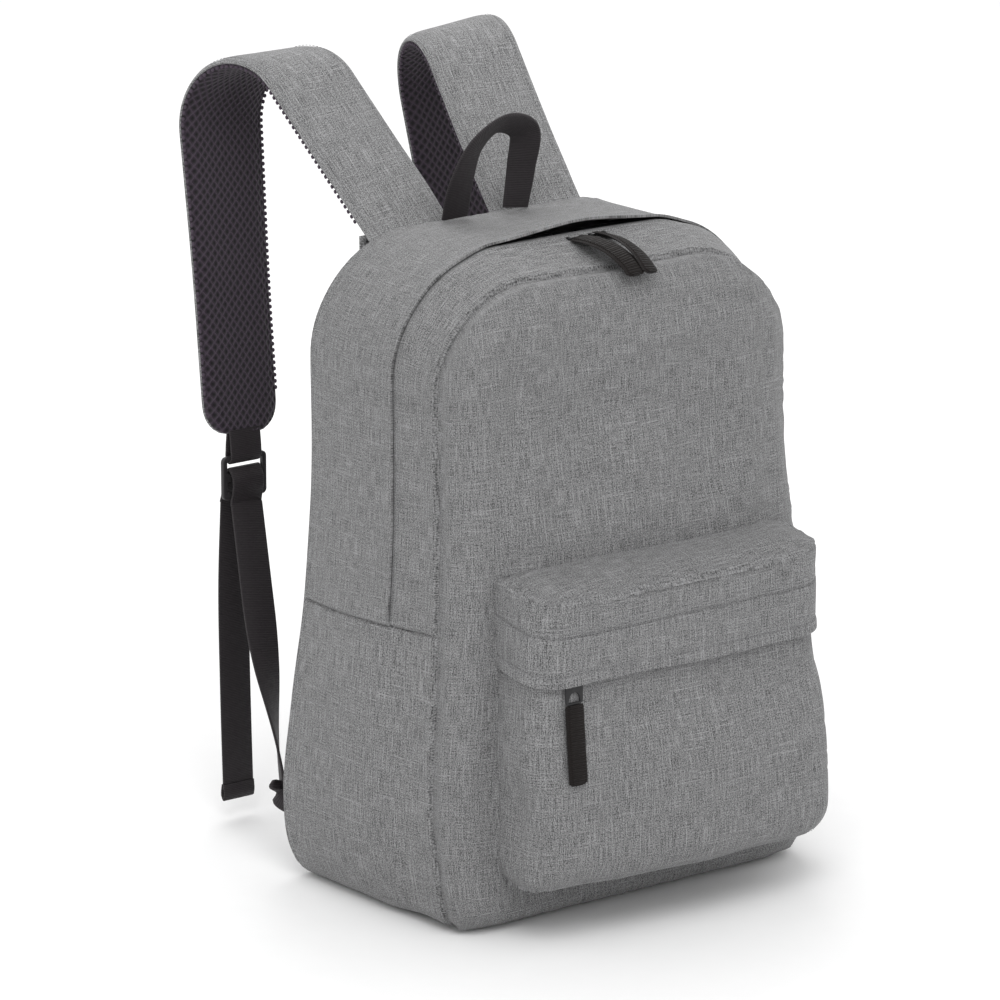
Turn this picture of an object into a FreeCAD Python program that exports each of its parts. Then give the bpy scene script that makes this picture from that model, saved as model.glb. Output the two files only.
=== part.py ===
"""Daypack: a school and day-hiking rucksack with one main compartment and one front pocket.

Millimetres. The origin is the middle of the base on the ground, +Z is up, the front (pocket
side) faces -Y and +X is to the right of somebody who faces the front.

The driving sizes are cells of the sheet "Sizes"; every sub-part is bound to them.
"""

import FreeCAD, Part

import math
import os
import re

SIZES = {
    # main bag
    "body_width": 300,
    "body_height": 440,
    "top_radius": 80,
    "base_radius": 20,
    "back_face": 72,
    "front_seam": -66,
    "front_face": -98,
    "front_round": 18,
    "front_inset": 4.5,
    "side_seam": 193,
    "cloth": 1.6,
    "foam": 6,
    "foam_inset": 9,
    "layer_gap": 0.2,
    "board_half": 126,
    "board_margin": 6,
    "board_thick": 2,
    "yoke_left": -104,
    "yoke_right": 86,
    "yoke_low": 408,
    "yoke_high": 438,
    # main zip, which runs over the top under its rain flap
    "flap_edge": -27,
    "zip_line": -17,
    "zip_gap": 1.5,
    "zip_row": 2.25,
    "tape_width": 12,
    "tape_thick": 0.8,
    "zip_inset": 6.5,
    "row_thick": 2.2,
    "zip_slit": 6.2,
    "stop_outer": 4.6,
    "stop_inner": 8.4,
    "stop_half": 3.2,
    "stop_tall": 4,
    # sliders and pulls
    "slider_length": 14,
    "slider_width": 11,
    "slider_plate": 1.5,
    "slider_play": 0.3,
    "neck": 0.9,
    "neck_half": 3,
    "bail_length": 20,
    "bail_width": 14,
    "bail_thick": 1.2,
    "bail_behind": 2,
    "bail_rim": 2,
    "bail_foot": 1.8,
    "bail_window": 5.2,
    "pull_width": 15,
    "pull_thick": 1.4,
    "pull_gap": 0.4,
    "pull_knee": 12,
    "pull_end": 20,
    "pull_steep": 38,
    "left_slider": -3,
    "right_slider": 15,
    # front pocket
    "pocket_width": 228,
    "pocket_round": 20,
    "pocket_face": -146,
    "pocket_low": 36,
    "pocket_rear_top": 241,
    "pocket_front_top": 234,
    "pocket_zip": 188.5,
    "pocket_slit": 6,
    "pocket_rear_gap": 0.3,
    "roof_thick": 2.6,
    "roof_lip": 1,
    "pocket_tape_in": 2,
    "pocket_tape_tall": 9,
    "pocket_slider": -88,
    "pocket_bail_drop": 5,
    "pocket_pull_long": 52.6,
    "flap_stand": 4.6,
    "flap_gap": 0.4,
    "hinge_gap": 1.3,
    "flap_fold": 208,
    "flap_low": 175.5,
    "flap_half": 97,
    # back pad and inner sleeve
    "pad_half": 122,
    "pad_low": 34,
    "pad_high": 404,
    "pad_round": 40,
    "pad_thick": 8,
    "sleeve_half": 118,
    "sleeve_low": 12,
    "sleeve_high": 290,
    "sleeve_front": 46,
    # shoulder straps
    "strap_width": 68,
    "cover_thick": 1.5,
    "core_thick": 6,
    "mesh_thick": 1.5,
    "crest_radius": 44,
    "root_y": 72,
    "root_z": 434,
    "crest_y": 268.2,
    "crest_z": 617.5,
    "end_y": 191,
    "end_z": 273,
    "root_clear": 441.2,
    "left_root": -64,
    "right_root": 44,
    "lean_back": 0.2534,
    "lean_down": 0.1295,
    # ladder locks and webbing
    "webbing": 25,
    "webbing_thick": 1.6,
    "lock_half": 18,
    "lock_bar": 3.2,
    "lock_side": 4,
    "upper_slot": 9.2,
    "lower_slot_low": 5,
    "lower_slot_high": 12.6,
    "tab_half": 4.4,
    "tab_lap": 6.6,
    "tab_in": 4,
    "turn_half": 3.6,
    "turn_low": 10.6,
    "turn_high": 19.8,
    "lock_top": 260.1,
    "lock_low": 230,
    "lock_y": 189,
    "tail_y": 200,
    "tail_low": 12,
    "run_top": 228,
    "anchor_y": 90,
    "anchor_z": 46,
    "anchor_x": 152,
    "anchor_near": 140,
    "anchor_far": 156,
    "anchor_low": 34,
    "anchor_high": 60,
    "anchor_thick": 2.4,
    "hem_half": 2.4,
    "hem_tall": 12,
    # haul loop
    "haul_x": 2,
    "haul_y": 58,
    "haul_half": 36,
    "haul_band": 21,
    "haul_height": 64,
    "haul_thick": 2.2,
}

NAMES = re.compile(r"[a-z_]+")


def named(text):
    """The expression with each size written as its cell of the sheet."""
    return NAMES.sub(lambda m: "Sizes." + m[0] if m[0] in SIZES else m[0], str(text))


def bind(thing, prop, text):
    thing.setExpression(prop, named(text))


def make_sheet(doc):
    sheet = doc.addObject("Spreadsheet::Sheet", "Sizes")
    for row, (alias, value) in enumerate(SIZES.items(), start=1):
        sheet.set(f"A{row}", alias)
        sheet.set(f"B{row}", str(value))
        sheet.setAlias(f"B{row}", alias)
    doc.recompute()
    return sheet


class Model:
    """The document, its sheet and the list of finished sub-parts."""

    def __init__(self):
        self.doc = FreeCAD.newDocument("daypack")
        self.sheet = make_sheet(self.doc)
        self.parts = []
        self.count = 0

    # small helpers -------------------------------------------------------------------------

    def size(self, alias):
        return float(getattr(self.sheet, alias))

    def fresh(self, kind, stem):
        self.count += 1
        return self.doc.addObject(kind, f"{stem}_{self.count}")

    def keep(self, thing, label):
        """Names a finished sub-part, whose label is also its file."""
        thing.Label = label
        self.parts.append(thing)
        return thing

    # solids --------------------------------------------------------------------------------

    def box(self, low, high):
        """A box between two corners, each given as three expressions."""
        block = self.fresh("Part::Box", "block")
        for axis, size, a, b in zip("xyz", ("Length", "Width", "Height"), low, high):
            bind(block, f"Placement.Base.{axis}", a)
            bind(block, size, f"({b}) - ({a})")
        return block

    def rounded(self, low, high, rounds):
        """A box whose picked edges are rounded; rounds holds (picker, radius expression)."""
        body = self.fresh("PartDesign::Body", "slab")
        tip = body.newObject("PartDesign::AdditiveBox", f"{body.Name}_block")
        for axis, size, a, b in zip("xyz", ("Length", "Width", "Height"), low, high):
            bind(body, f"Placement.Base.{axis}", a)
            bind(tip, size, f"({b}) - ({a})")
        for number, (picker, radius) in enumerate(rounds, start=1):
            self.doc.recompute()
            edges = picked(tip.Shape, picker)
            fillet = body.newObject("PartDesign::Fillet", f"{body.Name}_round{number}")
            fillet.Base = (tip, edges)
            bind(fillet, "Radius", radius)
            tip = fillet
        body.Tip = tip
        return body

    def boolean(self, kind, base, tool):
        cut = self.fresh(kind, "joined")
        cut.Base = base
        cut.Tool = tool
        return cut

    def cut(self, base, *tools):
        for tool in tools:
            base = self.boolean("Part::Cut", base, tool)
        return base

    def common(self, base, tool):
        return self.boolean("Part::Common", base, tool)

    def fuse(self, base, *tools):
        for tool in tools:
            base = self.boolean("Part::Fuse", base, tool)
        return base

    def feature(self, shape, label):
        """A sub-part whose shape is worked out from the sheet's values below."""
        thing = self.fresh("Part::Feature", "formed")
        thing.Shape = shape
        return self.keep(thing, label)


# edge pickers: each takes the edge and the solid's bounding box ------------------------------


def along(edge, axis):
    """True where a straight edge runs along the axis."""
    if len(edge.Vertexes) < 2 or not isinstance(edge.Curve, Part.Line):
        return False
    step = edge.Vertexes[1].Point.sub(edge.Vertexes[0].Point)
    return abs(abs(getattr(step, axis)) - step.Length) < 1e-6


def top_corners(edge, box):
    return along(edge, "y") and abs(edge.Vertexes[0].Z - box.ZMax) < 1e-6


def base_corners(edge, box):
    return along(edge, "y") and abs(edge.Vertexes[0].Z - box.ZMin) < 1e-6


def front_rim(edge, box):
    return all(abs(v.Y - box.YMin) < 1e-6 for v in edge.Vertexes)


def front_uprights(edge, box):
    return along(edge, "z") and abs(edge.Vertexes[0].Y - box.YMin) < 1e-6


def flat_corners(edge, box):
    return along(edge, "y")


def picked(shape, picker):
    box = shape.BoundBox
    names = [f"Edge{i}" for i, edge in enumerate(shape.Edges, start=1) if picker(edge, box)]
    if not names:
        raise RuntimeError("no edge to round")
    return names


# shapes that follow a bent line in the YZ plane ---------------------------------------------


def point(y, z):
    return FreeCAD.Vector(0, y, z)


def strap_line(model, offset):
    """The strap's side line: a straight rise, the crest's arc and a straight fall.

    offset moves it towards the outer side of the bend.
    """
    root = point(model.size("root_y"), model.size("root_z"))
    corner = point(model.size("crest_y"), model.size("crest_z"))
    end = point(model.size("end_y"), model.size("end_z"))
    rise = corner.sub(root).normalize()
    fall = end.sub(corner).normalize()
    turn = rise.getAngle(fall)
    radius = model.size("crest_radius")
    reach = radius * math.tan(turn / 2)
    inward = fall.sub(rise).normalize()
    centre = corner.add(inward * (radius / math.cos(turn / 2)))
    first = corner.sub(rise * reach)
    last = corner.add(fall * reach)

    def moved(at, direction):
        outer = point(-direction.z, direction.y)
        return at.add(outer * offset)

    crest = centre.sub(inward * (radius + offset))
    a, b = moved(root, rise), moved(first, rise)
    c, d = moved(last, fall), moved(end, fall)
    return [
        Part.LineSegment(a, b).toShape(),
        Part.Arc(b, crest, c).toShape(),
        Part.LineSegment(c, d).toShape(),
    ]


def strap_section(model, inner, outer):
    """The face between two side lines of the strap."""
    low, high = strap_line(model, inner), strap_line(model, outer)
    start = Part.LineSegment(low[0].Vertexes[0].Point, high[0].Vertexes[0].Point).toShape()
    finish = Part.LineSegment(low[-1].Vertexes[-1].Point, high[-1].Vertexes[-1].Point).toShape()
    return Part.Face(Part.Wire(low + [finish] + high[::-1] + [start]))


def band_section(points, thick):
    """The face of a band of this thickness along straight runs, square at both ends."""
    above, below = [], []
    for i, here in enumerate(points):
        before = here.sub(points[i - 1]).normalize() if i else None
        after = points[i + 1].sub(here).normalize() if i + 1 < len(points) else None
        mean = (before or after).add(after or before).normalize()
        side = point(-mean.z, mean.y)
        grow = 1 / mean.dot(after or before)
        above.append(here.add(side * (thick / 2 * grow)))
        below.append(here.sub(side * (thick / 2 * grow)))
    ring = above + below[::-1]
    return Part.Face(Part.makePolygon(ring + ring[:1]))


def leaning_slab(centre, width, back, down, about):
    """The space between two parallel planes that lean with Y and Z."""
    reach = 900
    corners = [(-reach, -reach), (reach, -reach), (reach, reach), (-reach, reach)]

    def at(y, z, side):
        lean = back * (y - about.y) + down * (z - about.z)
        return FreeCAD.Vector(centre + lean + side * width / 2, y, z)

    sides = [[at(y, z, side) for y, z in corners] for side in (-1, 1)]
    faces = [Part.Face(Part.makePolygon(ring + ring[:1])) for ring in sides]
    for i in range(4):
        j = (i + 1) % 4
        ring = [sides[0][i], sides[0][j], sides[1][j], sides[1][i]]
        faces.append(Part.Face(Part.makePolygon(ring + ring[:1])))
    return Part.Solid(Part.Shell(faces))


def leaning_band(section, centre, width, back, down, about):
    """A section in the YZ plane made as wide as the strap, leaning sideways as it goes."""
    reach = 600
    face = section.copy()
    face.translate(FreeCAD.Vector(-reach, 0, 0))
    wide = face.extrude(FreeCAD.Vector(2 * reach, 0, 0))
    return wide.common(leaning_slab(centre, width, back, down, about))


# main bag -------------------------------------------------------------------------------------

LEFT, RIGHT = -1, 1
SIDES = {"left": LEFT, "right": RIGHT}


def outline_slab(model, inset, front, back):
    """The bag's arched outline, drawn in by inset, between two Y planes."""
    half = f"(body_width / 2 - ({inset}))"
    low = (f"-{half}", front, inset)
    high = (half, back, f"body_height - ({inset})")
    rounds = [(top_corners, f"top_radius - ({inset})"), (base_corners, f"base_radius - ({inset})")]
    return model.rounded(low, high, rounds)


def hoop(model, inset, thick, front, back):
    """A band round the bag's whole outline."""
    outer = outline_slab(model, inset, front, back)
    inner = outline_slab(model, f"{inset} + {thick}", f"{front} - 1", f"{back} + 1")
    return model.cut(outer, inner)


def above_seam(model, ring, label):
    """The arch of a hoop above the side seams."""
    upper = model.box(("-body_width", "-200", "side_seam"), ("body_width", "200", "600"))
    return model.keep(model.common(ring, upper), label)


def build_back(model):
    model.keep(outline_slab(model, "0", "back_face - cloth", "back_face"), "back_panel")
    foam = outline_slab(
        model, "foam_inset", "back_face - cloth - foam - layer_gap", "back_face - cloth"
    )
    model.keep(foam, "back_foam")

    def pad(half_in, depth, start):
        low = (f"-pad_half + {half_in}", start, f"pad_low + {half_in}")
        high = (f"pad_half - {half_in}", depth, f"pad_high - {half_in}")
        return model.rounded(low, high, [(flat_corners, f"pad_round - {half_in}")])

    mesh = pad("0", "back_face + pad_thick", "back_face")
    core_top = "back_face + pad_thick - mesh_thick"
    hollow = pad("mesh_thick", core_top, "back_face - 1")
    model.keep(model.cut(mesh, hollow), "back_mesh")
    model.keep(pad("mesh_thick", core_top, "back_face"), "back_pad_core")
    yoke = model.box(
        ("yoke_left", "back_face", "yoke_low"), ("yoke_right", "back_face + cloth", "yoke_high")
    )
    model.keep(yoke, "strap_yoke")


def build_base(model):
    ring = hoop(model, "0", "cloth", "front_seam", "back_face - cloth")
    below = model.box(("-body_width", "-200", "-1"), ("body_width", "200", "base_radius"))
    model.keep(model.common(ring, below), "base_panel")
    for name, side in SIDES.items():
        span = sorted((f"{side * 100}", f"{side * 200}"), key=float)
        wall = model.box((span[0], "-200", "base_radius"), (span[1], "200", "side_seam"))
        model.keep(model.common(ring, wall), f"side_panel_{name}")
    board = model.box(
        ("-board_half", "front_seam + board_margin", "cloth"),
        ("board_half", "back_face - 2 * board_margin", "cloth + board_thick"),
    )
    model.keep(board, "base_board")


def build_gussets(model):
    rear = hoop(model, "0", "cloth", "flap_edge", "back_face - cloth")
    above_seam(model, rear, "rear_gusset")
    front = hoop(model, "front_inset", "cloth", "front_seam", "zip_line - zip_slit")
    above_seam(model, front, "front_gusset")


def build_main_zip(model):
    tape_in = "zip_inset - tape_thick / 2"
    row_in = "zip_inset - row_thick / 2"
    outer = "zip_line - zip_gap / 2 - zip_row"
    rear = "zip_line + zip_gap / 2 + zip_row"
    tape = hoop(model, tape_in, "tape_thick", f"{outer} - tape_width", outer)
    above_seam(model, tape, "zip_tape_front")
    tape = hoop(model, tape_in, "tape_thick", rear, f"{rear} + tape_width")
    above_seam(model, tape, "zip_tape_rear")
    row = hoop(model, row_in, "row_thick", outer, f"{outer} + zip_row")
    above_seam(model, row, "zip_teeth_front")
    row = hoop(model, row_in, "row_thick", f"{rear} - zip_row", rear)
    above_seam(model, row, "zip_teeth_rear")
    stops = []
    for side in SIDES.values():
        face = [f"{side} * (body_width / 2 - {inset})" for inset in ("stop_outer", "stop_inner")]
        low_x, high_x = face if side < 0 else face[::-1]
        low = (low_x, "zip_line - stop_half", "side_seam - stop_tall")
        stops.append(model.box(low, (high_x, "zip_line + stop_half", "side_seam")))
    model.keep(model.fuse(*stops), "zip_bottom_stops")


def build_front(model):
    half = "(body_width / 2 - front_inset)"
    rounds = [
        (top_corners, "top_radius - front_inset"),
        (base_corners, "base_radius"),
        (front_rim, "front_round"),
    ]
    outer = model.rounded(
        (f"-{half}", "front_face", "0"),
        (half, "front_seam", "body_height - front_inset"),
        rounds,
    )
    rounds = [
        (top_corners, "top_radius - front_inset - cloth"),
        (base_corners, "base_radius - cloth"),
        (front_rim, "front_round - cloth"),
    ]
    inner = model.rounded(
        (f"-{half} + cloth", "front_face + cloth", "cloth"),
        (f"{half} - cloth", "front_seam + 1", "body_height - front_inset - cloth"),
        rounds,
    )
    model.keep(model.cut(outer, inner), "front_panel")


def build_sleeve(model):
    low = ("-sleeve_half", "sleeve_front", "sleeve_low")
    outer = model.box(low, ("sleeve_half", "back_face - cloth - foam - 2 * layer_gap", "sleeve_high"))
    low = ("-sleeve_half + cloth", "sleeve_front + cloth", "sleeve_low + cloth")
    high = ("sleeve_half - cloth", "back_face - 2 * cloth - foam - 2 * layer_gap", "sleeve_high + 1")
    model.keep(model.cut(outer, model.box(low, high)), "inner_sleeve")


# sliders and pulls ----------------------------------------------------------------------------


def build_main_slider(model, name):
    """A slider on the flat top of the arch, its bail and its webbing pull."""
    at = f"{name}_slider"
    top = "body_height - zip_inset + row_thick / 2 + slider_play"
    low = "body_height - zip_inset - row_thick / 2 - slider_play"
    span = (f"{at} - slider_length / 2", f"{at} + slider_length / 2")
    deep = ("zip_line - slider_width / 2", "zip_line + slider_width / 2")
    upper = model.box((span[0], deep[0], top), (span[1], deep[1], f"{top} + slider_plate"))
    lower = model.box((span[0], deep[0], f"{low} - slider_plate"), (span[1], deep[1], low))
    neck = model.box(
        (f"{at} - neck_half", "zip_line - neck / 2", low),
        (f"{at} + neck_half", "zip_line + neck / 2", top),
    )
    model.keep(model.fuse(upper, neck, lower), f"main_slider_{name}")
    seat = f"{top} + slider_plate"
    rear = "zip_line + bail_behind"
    plate = model.box(
        (f"{at} - bail_width / 2", f"{rear} - bail_length", seat),
        (f"{at} + bail_width / 2", rear, f"{seat} + bail_thick"),
    )
    foot = f"{rear} - bail_length + bail_foot"
    window = model.box(
        (f"{at} - bail_width / 2 + bail_rim", foot, f"{seat} - 1"),
        (f"{at} + bail_width / 2 - bail_rim", f"{foot} + bail_window", f"{seat} + 3"),
    )
    model.keep(model.cut(plate, window), f"main_bail_{name}")


def build_main_pull(model, name):
    """The pull lies forward over the top of the front panel and bends down its rounded edge."""
    seat = model.size("body_height") - model.size("zip_inset") + model.size("row_thick") / 2
    height = seat + model.size("slider_play") + model.size("slider_plate") + 0.9
    bail_foot = model.size("zip_line") + model.size("bail_behind") - model.size("bail_length")
    start = bail_foot - model.size("pull_gap")
    knee = model.size("front_face") + model.size("pull_knee")
    steep = math.radians(model.size("pull_steep"))
    run = model.size("pull_end")
    route = [
        point(start, height),
        point(knee, height),
        point(knee - run * math.cos(steep), height - run * math.sin(steep)),
    ]
    section = band_section(route, model.size("pull_thick"))
    width = model.size("pull_width")
    section.translate(FreeCAD.Vector(model.size(f"{name}_slider") - width / 2, 0, 0))
    model.feature(section.extrude(FreeCAD.Vector(width, 0, 0)), f"main_pull_{name}")


# front pocket ---------------------------------------------------------------------------------


def pocket_wall(model, stand, thick, low, high):
    """Front and both sides of the pocket as one wall, standing off its face."""
    half = f"(pocket_width / 2 + {stand})"
    outer = model.rounded(
        (f"-{half}", f"pocket_face - {stand}", low),
        (half, "front_face - pocket_rear_gap", high),
        [(front_uprights, f"pocket_round + {stand}")],
    )
    half = f"(pocket_width / 2 + {stand} - {thick})"
    inner = model.rounded(
        (f"-{half}", f"pocket_face - {stand} + {thick}", f"{low} - 1"),
        (half, "front_face + 1", f"{high} + 1"),
        [(front_uprights, f"pocket_round + {stand} - {thick}")],
    )
    return model.cut(outer, inner)


def build_pocket(model):
    lower = pocket_wall(model, "0", "cloth", "pocket_low + cloth", "pocket_zip - pocket_slit")
    model.keep(lower, "pocket_front")
    band_top = "pocket_front_top - roof_lip"
    upper = pocket_wall(model, "0", "cloth", "pocket_zip + pocket_slit", band_top)
    model.keep(upper, "pocket_upper_band")
    floor = model.rounded(
        ("-pocket_width / 2", "pocket_face", "pocket_low"),
        ("pocket_width / 2", "front_face - pocket_rear_gap", "pocket_low + cloth"),
        [(front_uprights, "pocket_round")],
    )
    model.keep(floor, "pocket_gusset_bottom")
    build_pocket_top(model)
    fold = pocket_wall(model, "flap_stand", "flap_stand", "flap_fold", band_top)
    model.keep(fold, "pocket_flap_fold")
    skirt = pocket_wall(model, "flap_stand", "cloth", "flap_low", "flap_fold")
    middle = model.box(
        ("-flap_half - flap_gap", "pocket_face - 20", "0"),
        ("flap_half + flap_gap", "pocket_face + 8", "300"),
    )
    for name, side in SIDES.items():
        span = sorted((f"{side * 1}", f"{side * 200}"), key=float)
        half_space = model.box((span[0], "-200", "0"), (span[1], "200", "300"))
        corner = model.common(model.cut(skirt, middle), half_space)
        model.keep(corner, f"pocket_flap_corner_{name}")
    flap = model.box(
        ("-flap_half", "pocket_face - flap_stand", "flap_low"),
        ("flap_half", "pocket_face - flap_stand + cloth", "flap_fold - hinge_gap"),
    )
    model.keep(flap, "pocket_flap")


def build_pocket_top(model):
    """The pocket's roof slopes down to the front."""
    half = model.size("pocket_width") / 2 + model.size("flap_stand")
    rear_y = model.size("front_face") - model.size("pocket_rear_gap")
    rear_z = model.size("pocket_rear_top")
    front_y = model.size("pocket_face") - model.size("flap_stand")
    front_z = model.size("pocket_front_top")
    thick, lip = model.size("roof_thick"), model.size("roof_lip")
    ring = [
        point(rear_y, rear_z),
        point(front_y, front_z),
        point(front_y, front_z - lip),
        point(front_y + thick, front_z - lip),
        point(rear_y, rear_z - thick),
    ]
    face = Part.Face(Part.makePolygon(ring + ring[:1]))
    face.translate(FreeCAD.Vector(-half, 0, 0))
    roof = face.extrude(FreeCAD.Vector(2 * half, 0, 0))
    radius = model.size("pocket_round") + model.size("flap_stand")
    plan = Part.makeBox(2 * half, rear_y - front_y, 400, FreeCAD.Vector(-half, front_y, 0))
    uprights = [e for e in plan.Edges if front_uprights(e, plan.BoundBox)]
    model.feature(roof.common(plan.makeFillet(radius, uprights)), "pocket_top_panel")


def build_pocket_zip(model):
    half = "(pocket_width / 2 - pocket_round)"
    plane = "(pocket_face + pocket_tape_in)"
    rows = (("lower", -1), ("upper", 1))
    for name, side in rows:
        near = f"pocket_zip + {side} * zip_gap / 2"
        far = f"pocket_zip + {side} * (zip_gap / 2 + zip_row)"
        edge = f"pocket_zip + {side} * (zip_gap / 2 + zip_row + pocket_tape_tall)"
        low, high = (far, near) if side < 0 else (near, far)
        row = model.box(
            (f"-{half}", f"{plane} - row_thick / 2", low),
            (half, f"{plane} + row_thick / 2", high),
        )
        model.keep(row, f"pocket_zip_teeth_{name}")
        low, high = (edge, far) if side < 0 else (far, edge)
        tape = model.box(
            (f"-{half}", f"{plane} - tape_thick / 2", low),
            (half, f"{plane} + tape_thick / 2", high),
        )
        model.keep(tape, f"pocket_zip_tape_{name}")


def build_pocket_slider(model):
    at = "pocket_slider"
    front = "pocket_face + pocket_tape_in - row_thick / 2 - slider_play"
    rear = "pocket_face + pocket_tape_in + row_thick / 2 + slider_play"
    span = (f"{at} - slider_length / 2", f"{at} + slider_length / 2")
    tall = ("pocket_zip - slider_width / 2", "pocket_zip + slider_width / 2")
    outer = model.box((span[0], f"{front} - slider_plate", tall[0]), (span[1], front, tall[1]))
    inner = model.box((span[0], rear, tall[0]), (span[1], f"{rear} + slider_plate", tall[1]))
    neck = model.box(
        (f"{at} - neck_half", front, "pocket_zip - neck / 2"),
        (f"{at} + neck_half", rear, "pocket_zip + neck / 2"),
    )
    model.keep(model.fuse(outer, neck, inner), "pocket_slider_body")
    seat = f"{front} - slider_plate"
    foot = "pocket_zip - bail_length - pocket_bail_drop"
    plate = model.box(
        (f"{at} - bail_width / 2", f"{seat} - bail_thick", foot),
        (f"{at} + bail_width / 2", seat, "pocket_zip + bail_behind"),
    )
    sill = f"{foot} + bail_foot"
    window = model.box(
        (f"{at} - bail_width / 2 + bail_rim", f"{seat} - 3", sill),
        (f"{at} + bail_width / 2 - bail_rim", f"{seat} + 1", f"{sill} + bail_window + 1"),
    )
    model.keep(model.cut(plate, window), "pocket_bail")
    pull = model.box(
        (f"{at} - pull_width / 2", f"{seat} + 0.1 - pull_thick", f"{foot} - pull_gap - pocket_pull_long"),
        (f"{at} + pull_width / 2", f"{seat} + 0.1", f"{foot} - pull_gap"),
    )
    model.keep(pull, "pocket_pull")


# straps ---------------------------------------------------------------------------------------


def build_strap_pad(model, name, side):
    """The padded strap: grey cover, foam core and mesh lining, lying on each other."""
    core = model.size("core_thick")
    layers = {
        f"strap_cover_{name}": (core / 2, core / 2 + model.size("cover_thick")),
        f"strap_foam_{name}": (-core / 2, core / 2),
        f"strap_mesh_{name}": (-core / 2 - model.size("mesh_thick"), -core / 2),
    }
    clear = Part.makeBox(1200, 600, 600, FreeCAD.Vector(-600, 0, model.size("root_clear")))
    lower = Part.makeBox(1200, 600, 900, FreeCAD.Vector(-600, 130, -100))
    room = clear.fuse(lower).removeSplitter()
    about = point(model.size("root_y"), model.size("root_z"))
    for label, (inner, outer) in layers.items():
        band = leaning_band(
            strap_section(model, inner, outer),
            model.size(f"{name}_root"),
            model.size("strap_width"),
            side * model.size("lean_back"),
            -side * model.size("lean_down"),
            about,
        )
        model.feature(band.common(room), label)


def strap_end_x(model, name, side):
    """Where the middle of the strap is at its lower end."""
    back = model.size("lean_back") * (model.size("end_y") - model.size("root_y"))
    down = model.size("lean_down") * (model.size("end_z") - model.size("root_z"))
    return model.size(f"{name}_root") + side * (back - down)


def build_lock(model, name, side):
    """The ladder lock, the tab that holds it and the turn of webbing round its middle bar."""
    x = round(strap_end_x(model, name, side), 3)
    bar = "lock_bar / 2"
    frame = model.box(
        (f"{x} - lock_half", f"lock_y - {bar}", "lock_low"),
        (f"{x} + lock_half", f"lock_y + {bar}", "lock_top"),
    )
    openings = (
        ("lock_top - lock_bar - upper_slot", "lock_top - lock_bar"),
        ("lock_low + lower_slot_low", "lock_low + lower_slot_high"),
    )
    slots = []
    for low, high in openings:
        low_corner = (f"{x} - lock_half + lock_side", "lock_y - 10", low)
        high_corner = (f"{x} + lock_half - lock_side", "lock_y + 10", high)
        slots.append(model.box(low_corner, high_corner))
    model.keep(model.cut(frame, *slots), f"ladder_lock_{name}")
    tab = model.box(
        (f"{x} - webbing / 2", "lock_y - tab_half", "lock_top - tab_lap"),
        (f"{x} + webbing / 2", "lock_y + tab_half", "end_z - tab_in"),
    )
    eye = model.box(
        (f"{x} - webbing", "lock_y - tab_half + webbing_thick", "lock_top - tab_lap + webbing_thick"),
        (f"{x} + webbing", "lock_y + tab_half - webbing_thick", "lock_top + 3.4"),
    )
    model.keep(model.cut(tab, eye), f"lock_tab_{name}")
    turn = model.box(
        (f"{x} - webbing / 2", "lock_y - turn_half", "lock_low + turn_low"),
        (f"{x} + webbing / 2", "lock_y + turn_half", "lock_low + turn_high"),
    )
    eye = model.box(
        (f"{x} - webbing", "lock_y - turn_half + webbing_thick", "lock_low + turn_low + webbing_thick"),
        (f"{x} + webbing", "lock_y + turn_half - webbing_thick", "lock_low + turn_high - webbing_thick"),
    )
    model.keep(model.cut(turn, eye), f"webbing_turn_{name}")


def build_webbing(model, name, side):
    """The run to the base corner, the loose tail with its hem, and the corner anchor."""
    x = strap_end_x(model, name, side)
    top = point(model.size("lock_y") - 1.2, model.size("run_top"))
    foot = point(model.size("anchor_y"), model.size("anchor_z"))
    down = (side * model.size("anchor_x") - x) / (foot.z - top.z)
    section = band_section([top, foot], model.size("webbing_thick"))
    run = leaning_band(section, x, model.size("webbing"), 0, down, top)
    model.feature(run, f"strap_run_{name}")
    x = round(x, 3)
    low = (f"{x} - webbing / 2", "tail_y - webbing_thick / 2", "tail_low + hem_tall")
    high = (f"{x} + webbing / 2", "tail_y + webbing_thick / 2", "run_top")
    model.keep(model.box(low, high), f"strap_tail_{name}")
    low = (f"{x} - webbing / 2", "tail_y - hem_half", "tail_low")
    high = (f"{x} + webbing / 2", "tail_y + hem_half", "tail_low + hem_tall")
    model.keep(model.box(low, high), f"tail_hem_{name}")
    near, far = f"{side} * anchor_near", f"{side} * anchor_far"
    near, far = (near, far) if side > 0 else (far, near)
    anchor = model.box(
        (near, "back_face", "anchor_low"), (far, "back_face + anchor_thick", "anchor_high")
    )
    tongue = model.box(
        (near, "back_face", "anchor_z - 6"), (far, "anchor_y - 5", "anchor_z + 6")
    )
    model.keep(model.fuse(anchor, tongue), f"strap_anchor_{name}")


def build_haul_loop(model):
    """A flat loop of webbing that stands on the top edge between the straps."""
    foot = "body_height + 0.8"
    half_y = ("haul_y - haul_thick / 2", "haul_y + haul_thick / 2")
    outer = model.rounded(
        ("haul_x - haul_half", half_y[0], foot),
        ("haul_x + haul_half", half_y[1], f"{foot} + haul_height"),
        [(top_corners, "haul_half - 1")],
    )
    inner = model.rounded(
        ("haul_x - haul_half + haul_band", "haul_y - 9", f"{foot} - 9"),
        ("haul_x + haul_half - haul_band", "haul_y + 9", f"{foot} + haul_height - haul_band"),
        [(top_corners, "haul_half - haul_band - 1")],
    )
    model.keep(model.cut(outer, inner), "haul_loop")


def check(model):
    """Stops on any object that failed or any sub-part without a sound solid."""
    for thing in model.doc.Objects:
        if {"Invalid", "Error"} & set(thing.State):
            raise RuntimeError(f"{thing.Label} failed: {thing.State}")
    for part in model.parts:
        shape = part.Shape
        if shape.isNull() or not shape.isValid() or not shape.Solids:
            raise RuntimeError(f"{part.Label} has no sound solid")


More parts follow.
